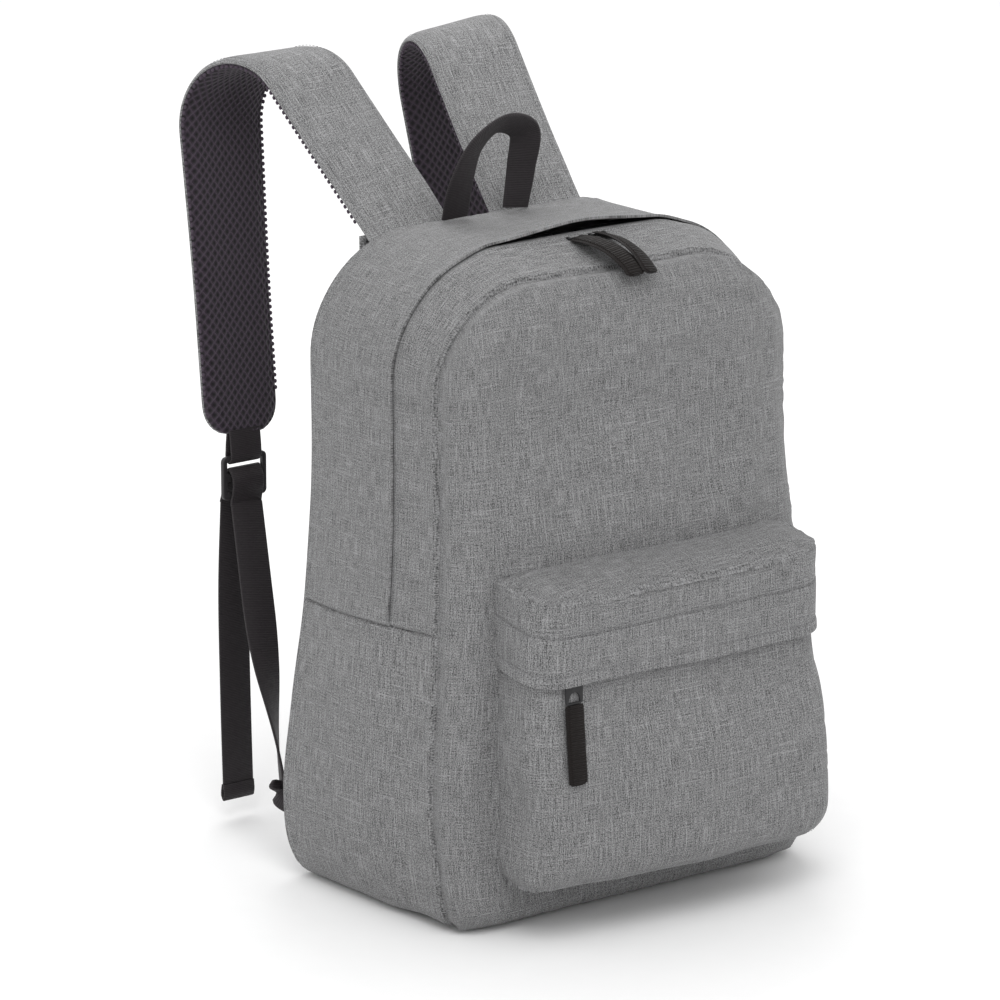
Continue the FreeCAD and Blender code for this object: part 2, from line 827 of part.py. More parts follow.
def main():
    model = Model()
    build_back(model)
    build_base(model)
    build_gussets(model)
    build_main_zip(model)
    build_front(model)
    build_sleeve(model)
    for name in SIDES:
        build_main_slider(model, name)
        build_main_pull(model, name)
    build_pocket(model)
    build_pocket_zip(model)
    build_pocket_slider(model)
    build_haul_loop(model)
    for name, side in SIDES.items():
        build_strap_pad(model, name, side)
        build_lock(model, name, side)
        build_webbing(model, name, side)
    model.doc.recompute()
    check(model)
    os.makedirs("parts", exist_ok=True)
    for part in model.parts:
        part.Shape.exportStep(f"parts/{part.Label}.step")
    print(len(model.parts), "sub-parts written")


main()
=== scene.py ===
"""Daypack: a heathered grey rucksack with one main compartment, a front pocket and two straps.

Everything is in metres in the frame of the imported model: +Z up, the pocket side towards -Y.
"""

import itertools
import logging
import math
from dataclasses import dataclass, field
from enum import Enum
from typing import Iterable, Optional, Sequence

import bpy
import numpy as np
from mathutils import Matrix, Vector


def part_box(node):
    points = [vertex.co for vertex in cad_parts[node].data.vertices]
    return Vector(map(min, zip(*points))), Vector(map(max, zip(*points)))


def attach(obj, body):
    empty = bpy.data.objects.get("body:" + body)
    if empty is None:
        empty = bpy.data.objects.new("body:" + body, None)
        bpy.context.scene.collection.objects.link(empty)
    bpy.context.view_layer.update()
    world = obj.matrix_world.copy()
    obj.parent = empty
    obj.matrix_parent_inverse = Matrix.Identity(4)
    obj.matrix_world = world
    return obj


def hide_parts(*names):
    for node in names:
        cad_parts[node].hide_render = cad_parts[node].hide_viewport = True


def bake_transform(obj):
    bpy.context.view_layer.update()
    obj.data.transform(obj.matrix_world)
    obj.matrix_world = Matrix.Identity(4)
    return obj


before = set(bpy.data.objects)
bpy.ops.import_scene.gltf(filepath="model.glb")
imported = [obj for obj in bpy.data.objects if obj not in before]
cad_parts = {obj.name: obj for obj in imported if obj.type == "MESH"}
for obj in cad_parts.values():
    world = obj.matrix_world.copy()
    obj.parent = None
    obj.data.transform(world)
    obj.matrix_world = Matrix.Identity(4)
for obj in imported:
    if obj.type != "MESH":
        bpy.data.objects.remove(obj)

LOG = logging.getLogger("daypack")
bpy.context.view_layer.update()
PACK = "pack"
LEFT, RIGHT = -1, 1
SIDES = {"left": LEFT, "right": RIGHT}


class Slot(Enum):
    """The record's material slots."""

    CLOTH = "heather_cloth"
    MESH = "spacer_mesh"
    WEBBING = "webbing"
    FOAM = "foam"
    LINING = "lining"
    BOARD = "board"
    COIL = "zip_coil"
    METAL = "black_metal"
    PLASTIC = "lock_plastic"


# numbers and surfaces ---------------------------------------------------------------------------


def smooth(value: np.ndarray) -> np.ndarray:
    """Eases 0 to 1 with no slope at either end."""
    value = np.clip(value, 0.0, 1.0)
    return value * value * (3 - 2 * value)


@dataclass(frozen=True)
class Ease:
    """A smooth curve through knots, flat outside them."""

    at: tuple[float, ...]
    value: tuple[float, ...]

    def __call__(self, where: np.ndarray) -> np.ndarray:
        """The curve's value at each place."""
        x, y = np.asarray(self.at), np.asarray(self.value)
        slope = np.gradient(y, x)
        where = np.clip(where, x[0], x[-1])
        i = np.clip(np.searchsorted(x, where, side="right") - 1, 0, len(x) - 2)
        gap = x[i + 1] - x[i]
        t = (where - x[i]) / gap
        return (
            (2 * t**3 - 3 * t**2 + 1) * y[i]
            + (t**3 - 2 * t**2 + t) * gap * slope[i]
            + (3 * t**2 - 2 * t**3) * y[i + 1]
            + (t**3 - t**2) * gap * slope[i + 1]
        )


@dataclass(frozen=True)
class Ripple:
    """Smooth seeded unevenness, as filled cloth has."""

    seed: int
    wave: tuple[float, float, float]
    depth: float

    def __call__(self, points: np.ndarray) -> np.ndarray:
        """The height of the unevenness at each point.

        Args:
            points: An array whose last axis is x, y, z.

        Returns:
            Heights between about -depth and depth.
        """
        size = 32
        lattice = np.random.default_rng(self.seed).uniform(-1, 1, (size, size, size))
        scaled = points / np.asarray(self.wave) + size
        cell = np.floor(scaled).astype(int)
        part = scaled - cell
        part = part * part * (3 - 2 * part)
        total = np.zeros(points.shape[:-1])
        for corner in itertools.product((0, 1), repeat=3):
            weight = np.ones(points.shape[:-1])
            for axis, up in enumerate(corner):
                weight = weight * (part[..., axis] if up else 1 - part[..., axis])
            x, y, z = ((cell[..., axis] + up) % size for axis, up in enumerate(corner))
            total += weight * lattice[x, y, z]
        return self.depth * total


def spaced(low: float, high: float, step: float, edge: Sequence[float] = ()) -> np.ndarray:
    """Places from low to high, closer together at both ends.

    Args:
        low: First place.
        high: Last place.
        step: The usual distance between places.
        edge: Distances from each end that are also wanted.

    Returns:
        The places in rising order.
    """
    inner = edge[-1] if len(edge) else 0.0
    count = max(2, round((high - low - 2 * inner) / step) + 1)
    middle = np.linspace(low + inner, high - inner, count)
    first = [low + d for d in (0.0, *edge[:-1])] if len(edge) else []
    last = [high - d for d in (0.0, *edge[:-1])][::-1] if len(edge) else []
    return np.array([*first, *middle, *last])


SEAM_STEPS = (0.0004, 0.0009, 0.0016, 0.0026, 0.0040, 0.0060)


def surface_normals(grid: np.ndarray) -> np.ndarray:
    """Unit normals of a grid of points."""
    rows, cols = np.gradient(grid, axis=0), np.gradient(grid, axis=1)
    normal = np.cross(cols, rows)
    return normal / np.maximum(np.linalg.norm(normal, axis=-1, keepdims=True), 1e-12)


def grid_quads(rows: int, cols: int, wrap: bool = False) -> np.ndarray:
    """The four-sided faces of a grid, closed round its columns when wrap is set."""
    r = np.arange(rows - 1)[:, None] * cols
    c = np.arange(cols if wrap else cols - 1)[None, :]
    d = (c + 1) % cols
    return np.stack([r + c, r + d, r + cols + d, r + cols + c], axis=-1).reshape(-1, 4)


def make_object(name: str, verts: np.ndarray, faces: Iterable, uv: np.ndarray) -> bpy.types.Object:
    """Builds a smooth-shaded mesh object at the origin whose faces point outwards.

    Args:
        name: The object's name.
        verts: One row for each vertex.
        faces: Vertex numbers of each face.
        uv: Cloth coordinates in metres, one row for each vertex.

    Returns:
        The object, linked to the scene.
    """
    mesh = bpy.data.meshes.new(name)
    mesh.from_pydata(verts.tolist(), [], [tuple(int(i) for i in f) for f in faces])
    mesh.update()
    corners = np.zeros(len(mesh.loops), dtype=np.int32)
    mesh.loops.foreach_get("vertex_index", corners)
    layer = mesh.uv_layers.new(name="UVMap")
    layer.data.foreach_set("uv", uv[corners].astype(np.float32).ravel())
    if enclosed(mesh) < 0:
        mesh.flip_normals()
    mesh.polygons.foreach_set("use_smooth", np.ones(len(mesh.polygons), dtype=bool))
    mesh.set_sharp_from_angle(angle=math.radians(55))
    thing = bpy.data.objects.new(name, mesh)
    bpy.context.scene.collection.objects.link(thing)
    return thing


def enclosed(mesh: bpy.types.Mesh) -> float:
    """The volume that a closed mesh holds, below zero when it is inside out."""
    mesh.calc_loop_triangles()
    verts = np.zeros(len(mesh.vertices) * 3)
    mesh.vertices.foreach_get("co", verts)
    verts = verts.reshape(-1, 3)
    tris = np.zeros(len(mesh.loop_triangles) * 3, dtype=np.int32)
    mesh.loop_triangles.foreach_get("vertices", tris)
    a, b, c = (verts[tris.reshape(-1, 3)[:, i]] for i in range(3))
    return float(np.einsum("ij,ij->i", a, np.cross(b, c)).sum() / 6)


def cloth_shell(
    name: str, grid: np.ndarray, uv: np.ndarray, thick: float, inside: Sequence[float]
) -> bpy.types.Object:
    """Closes a grid into a cloth of real thickness.

    Args:
        name: The object's name.
        grid: Points of the outer face, rows by columns.
        uv: Cloth coordinates in metres for each point.
        thick: Thickness of the cloth, laid towards the inside.
        inside: A point on the inner side of the cloth.

    Returns:
        The closed piece.
    """
    normal = surface_normals(grid)
    if np.sum(normal * (grid - np.asarray(inside))) < 0:
        grid, uv, normal = grid[:, ::-1], uv[:, ::-1], -normal[:, ::-1]
    rows, cols = grid.shape[:2]
    outer = grid.reshape(-1, 3)
    inner = (grid - normal * thick).reshape(-1, 3)
    quads = grid_quads(rows, cols)
    number = np.arange(rows * cols).reshape(rows, cols)
    rim = np.concatenate([number[0], number[1:, -1], number[-1, -2::-1], number[-2:0:-1, 0]])
    after = np.roll(rim, -1)
    count = len(outer)
    edge = np.stack([after, rim, rim + count, after + count], axis=-1)
    faces = np.concatenate([quads, quads[:, ::-1] + count, edge])
    flat = uv.reshape(-1, 2)
    return make_object(name, np.concatenate([outer, inner]), faces, np.concatenate([flat, flat]))


def sweep(
    name: str,
    centre: np.ndarray,
    across: np.ndarray,
    up: np.ndarray,
    section: np.ndarray,
) -> bpy.types.Object:
    """A closed band whose cross-section follows a line.

    Args:
        name: The object's name.
        centre: Points of the line.
        across: Unit direction of the section's width at each point.
        up: Unit direction of the section's thickness at each point.
        section: Ring of (across, up) offsets, the same for all points or one ring for each.

    Returns:
        The closed piece, with its length along the second cloth coordinate.
    """
    if section.ndim == 2:
        section = np.broadcast_to(section, (len(centre), *section.shape))
    rings = (
        centre[:, None]
        + section[..., :1] * across[:, None]
        + section[..., 1:] * up[:, None]
    )
    rows, cols = rings.shape[:2]
    length = np.concatenate([[0], np.cumsum(np.linalg.norm(np.diff(centre, axis=0), axis=1))])
    girth = section[..., 0] + 0.5 * section[..., 1]
    uv = np.stack([girth, np.broadcast_to(length[:, None], girth.shape)], axis=-1)
    verts = np.concatenate([rings.reshape(-1, 3), [rings[0].mean(0), rings[-1].mean(0)]])
    flat = np.concatenate([uv.reshape(-1, 2), [[0, 0], [0, length[-1]]]])
    faces = [tuple(q) for q in grid_quads(rows, cols, wrap=True)]
    first, last = rows * cols, rows * cols + 1
    base = (rows - 1) * cols
    for i in range(cols):
        j = (i + 1) % cols
        faces.append((first, j, i))
        faces.append((last, base + i, base + j))
    return make_object(name, verts, faces, flat)


def curve_points(points: Sequence[Sequence[float]], count: int) -> np.ndarray:
    """Points evenly spread along a smooth curve through the given ones."""
    known = np.asarray(points, dtype=float)
    steps = np.concatenate([[0], np.cumsum(np.linalg.norm(np.diff(known, axis=0), axis=1))])
    dense = np.linspace(0, steps[-1], count * 6)
    fine = np.stack(
        [Ease(tuple(steps), tuple(known[:, axis]))(dense) for axis in range(known.shape[1])], axis=-1
    )
    run = np.concatenate([[0], np.cumsum(np.linalg.norm(np.diff(fine, axis=0), axis=1))])
    even = np.linspace(0, run[-1], count)
    return np.stack([np.interp(even, run, fine[:, axis]) for axis in range(known.shape[1])], axis=-1)


def tangents(points: np.ndarray) -> np.ndarray:
    """Unit directions along a line of points."""
    step = np.gradient(points, axis=0)
    return step / np.linalg.norm(step, axis=1, keepdims=True)


def square_to(direction: np.ndarray, wish: np.ndarray) -> np.ndarray:
    """The wished directions made square to the given ones."""
    wish = np.broadcast_to(wish, direction.shape)
    flat = wish - direction * np.sum(wish * direction, axis=1, keepdims=True)
    return flat / np.linalg.norm(flat, axis=1, keepdims=True)


def band_section(width: float, thick: float, ends: int = 4) -> np.ndarray:
    """The rounded cross-section of a strip of webbing."""
    half, radius = width / 2 - thick / 2, thick / 2
    ring = []
    for side in (1, -1):
        for angle in np.linspace(-90, 90, ends + 1):
            turn = math.radians(angle)
            ring.append((side * (half + radius * math.cos(turn)), side * radius * math.sin(turn)))
        ring.append((0.0, side * radius))
    return np.array(ring)


# finishes ----------------------------------------------------------------------------------------


class Nodes:
    """Adds and joins the nodes of one material."""

    def __init__(self, name: str) -> None:
        """Makes an empty node material with its shader and output."""
        self.material = bpy.data.materials.new(name)
        self.material.use_nodes = True
        self.tree = self.material.node_tree
        self.tree.nodes.clear()
        self.shader = self.tree.nodes.new("ShaderNodeBsdfPrincipled")
        output = self.tree.nodes.new("ShaderNodeOutputMaterial")
        self.tree.links.new(self.shader.outputs[0], output.inputs["Surface"])

    def set(self, **values: float) -> None:
        """Sets numbers on the shader's own sockets, named with _ for a space."""
        for name, value in values.items():
            self.shader.inputs[name.replace("_", " ")].default_value = value

    def link(self, start: bpy.types.NodeSocket, end: bpy.types.NodeSocket) -> None:
        """Joins two sockets."""
        self.tree.links.new(start, end)

    def cloth_place(self) -> bpy.types.NodeSocket:
        """The piece's own cloth coordinates in metres."""
        node = self.tree.nodes.new("ShaderNodeUVMap")
        node.uv_map = "UVMap"
        return node.outputs["UV"]

    def solid_place(self) -> bpy.types.NodeSocket:
        """The place in the object's own space."""
        return self.tree.nodes.new("ShaderNodeTexCoord").outputs["Object"]

    def scaled(
        self, place: bpy.types.NodeSocket, scale: Sequence[float], turn: float = 0.0
    ) -> bpy.types.NodeSocket:
        """Coordinates multiplied by scale after a turn in their plane."""
        node = self.tree.nodes.new("ShaderNodeMapping")
        node.vector_type = "POINT"
        node.inputs["Scale"].default_value = tuple(scale)
        node.inputs["Rotation"].default_value = (0, 0, turn)
        self.link(place, node.inputs["Vector"])
        return node.outputs["Vector"]

    def noise(
        self, place: bpy.types.NodeSocket, detail: float = 2.0, flat: bool = True
    ) -> bpy.types.NodeSocket:
        """Noise of one unit's size, about 0.5 in the mean."""
        node = self.tree.nodes.new("ShaderNodeTexNoise")
        node.noise_dimensions = "2D" if flat else "3D"
        node.inputs["Scale"].default_value = 1.0
        node.inputs["Detail"].default_value = detail
        self.link(place, node.inputs["Vector"])
        return node.outputs[0]

    def math(self, kind: str, first: object, second: object = 0.0) -> bpy.types.NodeSocket:
        """A sum of two sockets or numbers."""
        node = self.tree.nodes.new("ShaderNodeMath")
        node.operation = kind
        for socket, value in zip(node.inputs, (first, second)):
            if isinstance(value, (int, float)):
                socket.default_value = value
            else:
                self.link(value, socket)
        return node.outputs[0]

    def parts(self, place: bpy.types.NodeSocket) -> tuple:
        """The single numbers of a vector."""
        node = self.tree.nodes.new("ShaderNodeSeparateXYZ")
        self.link(place, node.inputs[0])
        return tuple(node.outputs)

    def blend(self, share: bpy.types.NodeSocket, dark: Sequence[float], light: Sequence[float]) -> bpy.types.NodeSocket:
        """A colour between two by share."""
        node = self.tree.nodes.new("ShaderNodeMix")
        node.data_type = "RGBA"
        self.link(share, node.inputs["Factor"])
        for socket in node.inputs:
            if socket.type == "RGBA" and socket.name in ("A", "B"):
                socket.default_value = (*(dark if socket.name == "A" else light), 1)
        return next(s for s in node.outputs if s.type == "RGBA")

    def colour(self, socket: bpy.types.NodeSocket) -> None:
        """Paints the shader with a colour."""
        self.link(socket, self.shader.inputs["Base Color"])

    def rough(self, share: bpy.types.NodeSocket, low: float, high: float) -> None:
        """Varies the roughness between two values."""
        node = self.tree.nodes.new("ShaderNodeMapRange")
        node.inputs["To Min"].default_value = low
        node.inputs["To Max"].default_value = high
        self.link(share, node.inputs["Value"])
        self.link(node.outputs[0], self.shader.inputs["Roughness"])

    def bump(self, height: bpy.types.NodeSocket, strength: float, depth: float) -> None:
        """Raises the surface by a height."""
        node = self.tree.nodes.new("ShaderNodeBump")
        node.inputs["Strength"].default_value = strength
        node.inputs["Distance"].default_value = depth
        self.link(height, node.inputs["Height"])
        self.link(node.outputs[0], self.shader.inputs["Normal"])


@dataclass(frozen=True)
class HeatherCloth:
    """Plain-woven polyester of mixed grey yarns, with slubs along and across the cloth."""

    name: str = "heather cloth"
    tone: float = 0.168
    tint: tuple[float, float, float] = (1.0, 1.0, 1.012)
    warp: float = 0.85
    weft: float = 0.42
    grain: float = 1.75
    slub: float = 0.55
    pitch: float = 0.00062

    def build(self) -> bpy.types.Material:
        """Makes the material."""
        n = Nodes(self.name)
        place = n.cloth_place()
        layers = (
            (self.warp, (1500.0, 75.0, 1.0), 1.0),
            (self.weft, (70.0, 1500.0, 1.0), 1.0),
            (self.grain, (1450.0, 1050.0, 1.0), 1.0),
        )
        share: object = 0.49
        yarns = []
        for weight, scale, detail in layers:
            value = n.noise(n.scaled(place, scale), detail)
            yarns.append(value)
            share = n.math("ADD", share, n.math("MULTIPLY", n.math("SUBTRACT", value, 0.5), weight))
        for scale in ((900.0, 24.0, 1.0), (28.0, 1050.0, 1.0)):
            streak = n.noise(n.scaled(place, scale, 0.003), 1.0)
            streak = n.math("MAXIMUM", n.math("SUBTRACT", streak, 0.63), 0.0)
            share = n.math("ADD", share, n.math("MULTIPLY", streak, self.slub * 3.0))
        dark = [self.tone * 0.22 * t for t in self.tint]
        light = [self.tone * 1.78 * t for t in self.tint]
        n.colour(n.blend(share, dark, light))
        u, v, _ = n.parts(n.scaled(place, (math.tau / self.pitch,) * 3))
        weave = n.math("MULTIPLY", n.math("SINE", u), n.math("SINE", v))
        weave = n.math("MULTIPLY", weave, 0.4)
        height = n.math("ADD", weave, n.math("ADD", yarns[0], yarns[2]))
        n.bump(height, 0.3, 0.0003)
        n.rough(yarns[2], 0.78, 0.95)
        n.set(Sheen_Weight=0.12, Sheen_Roughness=0.5, Specular_IOR_Level=0.3)
        return n.material


@dataclass(frozen=True)
class SpacerMesh:
    """Black warp-knitted mesh with rows of small diamond holes, painted near-black inside as shade."""

    name: str = "spacer mesh"
    yarn: tuple[float, float, float] = (0.057, 0.041, 0.060)
    # The near-black colour of the holes is painted shade.
    hole_shade: tuple[float, float, float] = (0.003, 0.002, 0.003)
    across: float = 0.0054
    along: float = 0.0070

    def build(self) -> bpy.types.Material:
        """Makes the material."""
        n = Nodes(self.name)
        place = n.cloth_place()
        u, v, _ = n.parts(n.scaled(place, (math.pi / self.across, math.pi / self.along, 1)))
        first = n.math("ABSOLUTE", n.math("SINE", n.math("ADD", u, v)))
        second = n.math("ABSOLUTE", n.math("SINE", n.math("SUBTRACT", u, v)))
        gap = n.math("MULTIPLY", first, second)
        ridge = n.math("SUBTRACT", 1.0, n.math("POWER", gap, 0.8))
        fibre = n.noise(n.scaled(place, (1900.0, 1200.0, 1)), 2.0)
        share = n.math("MULTIPLY", ridge, n.math("ADD", 0.45, fibre))
        # The colour darkens from the yarn to the hole centres as painted shade; the fibre noise varies the yarn's own
        # tone.
        n.colour(n.blend(share, self.hole_shade, self.yarn))
        n.bump(n.math("ADD", ridge, n.math("MULTIPLY", fibre, 0.25)), 0.9, 0.0012)
        n.rough(fibre, 0.6, 0.85)
        n.set(Sheen_Weight=0.1, Sheen_Roughness=0.4, Specular_IOR_Level=0.35)
        return n.material


@dataclass(frozen=True)
class Webbing:
    """Black ribbed polyester webbing, its rib relief also painted into the colour as painted shade in the grooves and a
    painted highlight on the crests.
    """

    name: str = "webbing"
    # light is the crest colour, a painted highlight; dark is the groove colour, painted shade.
    light: tuple[float, float, float] = (0.027, 0.022, 0.025)
    dark: tuple[float, float, float] = (0.007, 0.005, 0.006)
    pitch: float = 0.0012
    specular: float = 0.34

    def build(self) -> bpy.types.Material:
        """Makes the material."""
        n = Nodes(self.name)
        place = n.cloth_place()
        wobble = n.noise(n.scaled(place, (300.0, 260.0, 1)), 2.0)
        u, v, _ = n.parts(n.scaled(place, (math.tau / 0.0009, math.tau / self.pitch, 1)))
        rib = n.math("SINE", n.math("ADD", v, n.math("MULTIPLY", wobble, 1.2)))
        cord = n.math("MULTIPLY", n.math("SINE", u), 0.25)
        height = n.math("MULTIPLY", n.math("ADD", n.math("ADD", rib, cord), 1.25), 0.4)
        # The colour follows the rib height: painted shade in the grooves, a painted highlight on the crests.
        n.colour(n.blend(height, self.dark, self.light))
        n.bump(height, 0.6, 0.0003)
        n.rough(wobble, 0.5, 0.75)
        n.set(Specular_IOR_Level=self.specular, Sheen_Weight=0.04)
        return n.material


@dataclass(frozen=True)
class Hard:
    """A painted, moulded, sawn or foamed solid with a fine uneven surface."""

    name: str
    dark: tuple[float, float, float]
    light: tuple[float, float, float]
    rough: tuple[float, float]
    grain: float = 900.0
    relief: float = 0.15
    metallic: float = 0.0
    specular: float = 0.5

    def build(self) -> bpy.types.Material:
        """Makes the material."""
        n = Nodes(self.name)
        place = n.solid_place()
        fine = n.noise(n.scaled(place, (self.grain,) * 3), 3.0, flat=False)
        broad = n.noise(n.scaled(place, (self.grain / 14,) * 3), 2.0, flat=False)
        n.colour(n.blend(n.math("ADD", n.math("MULTIPLY", fine, 0.5), n.math("MULTIPLY", broad, 0.5)), self.dark, self.light))
        n.bump(fine, self.relief, 0.0002)
        n.rough(broad, *self.rough)
        n.set(Metallic=self.metallic, Specular_IOR_Level=self.specular)
        return n.material


@dataclass
class Finishes:
    """Every finish of the daypack, made once."""

    cloth: bpy.types.Material = field(init=False)
    strap_cloth: bpy.types.Material = field(init=False)
    mesh: bpy.types.Material = field(init=False)
    webbing: bpy.types.Material = field(init=False)
    pull: bpy.types.Material = field(init=False)
    tape: bpy.types.Material = field(init=False)
    coil: bpy.types.Material = field(init=False)
    metal: bpy.types.Material = field(init=False)
    plastic: bpy.types.Material = field(init=False)
    foam: bpy.types.Material = field(init=False)
    lining: bpy.types.Material = field(init=False)
    board: bpy.types.Material = field(init=False)
    thread: bpy.types.Material = field(init=False)
    floor: bpy.types.Material = field(init=False)

    def __post_init__(self) -> None:
        """Builds the materials."""
        self.cloth = HeatherCloth().build()
        self.strap_cloth = HeatherCloth("strap heather cloth", tone=0.19).build()
        # The spacer mesh's hole colour is painted shade.
        self.mesh = SpacerMesh().build()
        # The webbing, pull tape and zip tape colours carry painted shade in the rib grooves and a painted highlight on
        # the crests.
        self.webbing = Webbing().build()
        self.pull = Webbing("pull tape", (0.012, 0.009, 0.008), (0.002, 0.001, 0.001), 0.0012, 0.16).build()
        self.tape = Webbing("zip tape", (0.022, 0.020, 0.022), (0.009, 0.008, 0.009), 0.0007).build()
        self.coil = Hard("zip coil", (0.012, 0.012, 0.013), (0.03, 0.03, 0.032), (0.35, 0.5)).build()
        self.metal = Hard(
            "black painted metal", (0.006, 0.006, 0.007), (0.015, 0.015, 0.016), (0.3, 0.48),
            grain=1400.0, relief=0.08, metallic=0.3,
        ).build()
        self.plastic = Hard(
            "moulded acetal", (0.014, 0.013, 0.014), (0.03, 0.028, 0.03), (0.38, 0.55), grain=1700.0
        ).build()
        self.foam = Hard("foam", (0.3, 0.3, 0.31), (0.5, 0.5, 0.51), (0.85, 0.95), 700.0, 0.5).build()
        self.lining = HeatherCloth(
            "lining", tone=0.06, warp=0.4, weft=0.4, grain=0.5, slub=0.1, pitch=0.0005
        ).build()
        self.board = Hard("fibre board", (0.2, 0.15, 0.1), (0.34, 0.27, 0.2), (0.7, 0.85), 500.0, 0.3).build()
        self.thread = Hard("grey thread", (0.13, 0.13, 0.135), (0.24, 0.24, 0.245), (0.6, 0.8), 3000.0).build()
        self.floor = Hard("pale floor", (0.86, 0.86, 0.86), (0.9, 0.9, 0.9), (0.8, 0.95), 40.0, 0.02, specular=0.1).build()


def dress(thing: bpy.types.Object, finish: bpy.types.Material) -> None:
    """Gives a piece one finish."""
    thing.data.materials.clear()
    thing.data.materials.append(finish)


def seat(
    thing: bpy.types.Object,
    finish: bpy.types.Material,
    slot: Slot,
    body: str,
    *nodes: str,
    bend: Optional[tuple] = None,
) -> bpy.types.Object:
    """Dresses a finished piece, hides the CAD nodes it stands for, and ties it to its body unless a bend is given.

    Args:
        thing: The piece, with its place in its mesh.
        finish: Its material.
        slot: A material slot name; not used.
        body: The body that it rides on.
        nodes: CAD nodes that it stands for.
        bend: Second body, start and end of a stretch; when given, the piece is only baked in place and tied to no body.

    Returns:
        The same piece.
    """
    dress(thing, finish)
    if bend:
        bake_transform(thing)
    else:
        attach(thing, body)
    if nodes:
        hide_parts(*nodes)
    LOG.info("%s: %d faces", thing.name, len(thing.data.polygons))
    return thing


# repeats along a line -----------------------------------------------------------------------------


class LineRepeat:
    """Sets small rounded pieces, such as stitches and zip turns, along a line."""

    def __init__(self) -> None:
        """Builds the node tree with its named inputs."""
        tree = bpy.data.node_groups.new("pieces along a line", "GeometryNodeTree")
        face = tree.interface
        face.new_socket("Geometry", in_out="INPUT", socket_type="NodeSocketGeometry")
        face.new_socket("Pitch", in_out="INPUT", socket_type="NodeSocketFloat")
        face.new_socket("Size", in_out="INPUT", socket_type="NodeSocketVector")
        face.new_socket("Across", in_out="INPUT", socket_type="NodeSocketVector")
        face.new_socket("Material", in_out="INPUT", socket_type="NodeSocketMaterial")
        face.new_socket("Geometry", in_out="OUTPUT", socket_type="NodeSocketGeometry")
        new, link = tree.nodes.new, tree.links.new
        source, result = new("NodeGroupInput"), new("NodeGroupOutput")
        curve = new("GeometryNodeMeshToCurve")
        points = new("GeometryNodeCurveToPoints")
        points.mode = "LENGTH"
        along, square = new("FunctionNodeAlignRotationToVector"), new("FunctionNodeAlignRotationToVector")
        along.axis, square.axis = "Z", "Y"
        square.pivot_axis = "Z"
        ball = new("GeometryNodeMeshUVSphere")
        ball.inputs["Segments"].default_value = 6
        ball.inputs["Rings"].default_value = 4
        ball.inputs["Radius"].default_value = 0.5
        place, real, paint = (
            new("GeometryNodeInstanceOnPoints"),
            new("GeometryNodeRealizeInstances"),
            new("GeometryNodeSetMaterial"),
        )
        link(source.outputs["Geometry"], curve.inputs[0])
        link(curve.outputs[0], points.inputs["Curve"])
        link(source.outputs["Pitch"], points.inputs["Length"])
        link(points.outputs["Tangent"], along.inputs["Vector"])
        link(along.outputs[0], square.inputs["Rotation"])
        link(source.outputs["Across"], square.inputs["Vector"])
        link(points.outputs["Points"], place.inputs["Points"])
        link(ball.outputs["Mesh"], place.inputs["Instance"])
        link(square.outputs[0], place.inputs["Rotation"])
        link(source.outputs["Size"], place.inputs["Scale"])
        link(place.outputs[0], real.inputs[0])
        link(real.outputs[0], paint.inputs["Geometry"])
        link(source.outputs["Material"], paint.inputs["Material"])
        link(paint.outputs[0], result.inputs[0])
        self.tree = tree
        self.sockets = {s.name: s.identifier for s in face.items_tree if s.in_out == "INPUT"}

    def lay(
        self,
        name: str,
        lines: Sequence[np.ndarray],
        pitch: float,
        size: Sequence[float],
        across: Sequence[float],
        finish: bpy.types.Material,
    ) -> bpy.types.Object:
        """Lays the pieces and turns them into a plain mesh.

        Args:
            name: The object's name.
            lines: Lines of points that the pieces follow.
            pitch: Distance from one piece to the next.
            size: Thickness, width and length of one piece.
            across: The direction that a piece's width faces.
            finish: The pieces' material.

        Returns:
            A mesh object at the origin.
        """
        verts = np.concatenate(lines)
        edges, start = [], 0
        for line in lines:
            edges += [(start + i, start + i + 1) for i in range(len(line) - 1)]
            start += len(line)
        mesh = bpy.data.meshes.new(name)
        mesh.from_pydata(verts.tolist(), edges, [])
        thing = bpy.data.objects.new(name, mesh)
        bpy.context.scene.collection.objects.link(thing)
        modifier = thing.modifiers.new("pieces", "NODES")
        modifier.node_group = self.tree
        values = {"Pitch": pitch, "Size": tuple(size), "Across": tuple(across), "Material": finish}
        for label, value in values.items():
            modifier[self.sockets[label]] = value
        return settled(thing)

    def stitch(
        self, name: str, lines: Sequence[np.ndarray], finish: bpy.types.Material
    ) -> bpy.types.Object:
        """Lays a row of lockstitches."""
        return self.lay(name, lines, 0.0032, (0.00042, 0.00042, 0.0025), (0, 1, 0), finish)


def settled(thing: bpy.types.Object) -> bpy.types.Object:
    """Turns a piece's modifiers into its plain mesh."""
    bpy.context.view_layer.update()
    graph = bpy.context.evaluated_depsgraph_get()
    mesh = bpy.data.meshes.new_from_object(
        thing.evaluated_get(graph), preserve_all_data_layers=True, depsgraph=graph
    )
    thing.modifiers.clear()
    thing.data = mesh
    mesh.name = thing.name
    mesh.polygons.foreach_set("use_smooth", np.ones(len(mesh.polygons), dtype=bool))
    return thing


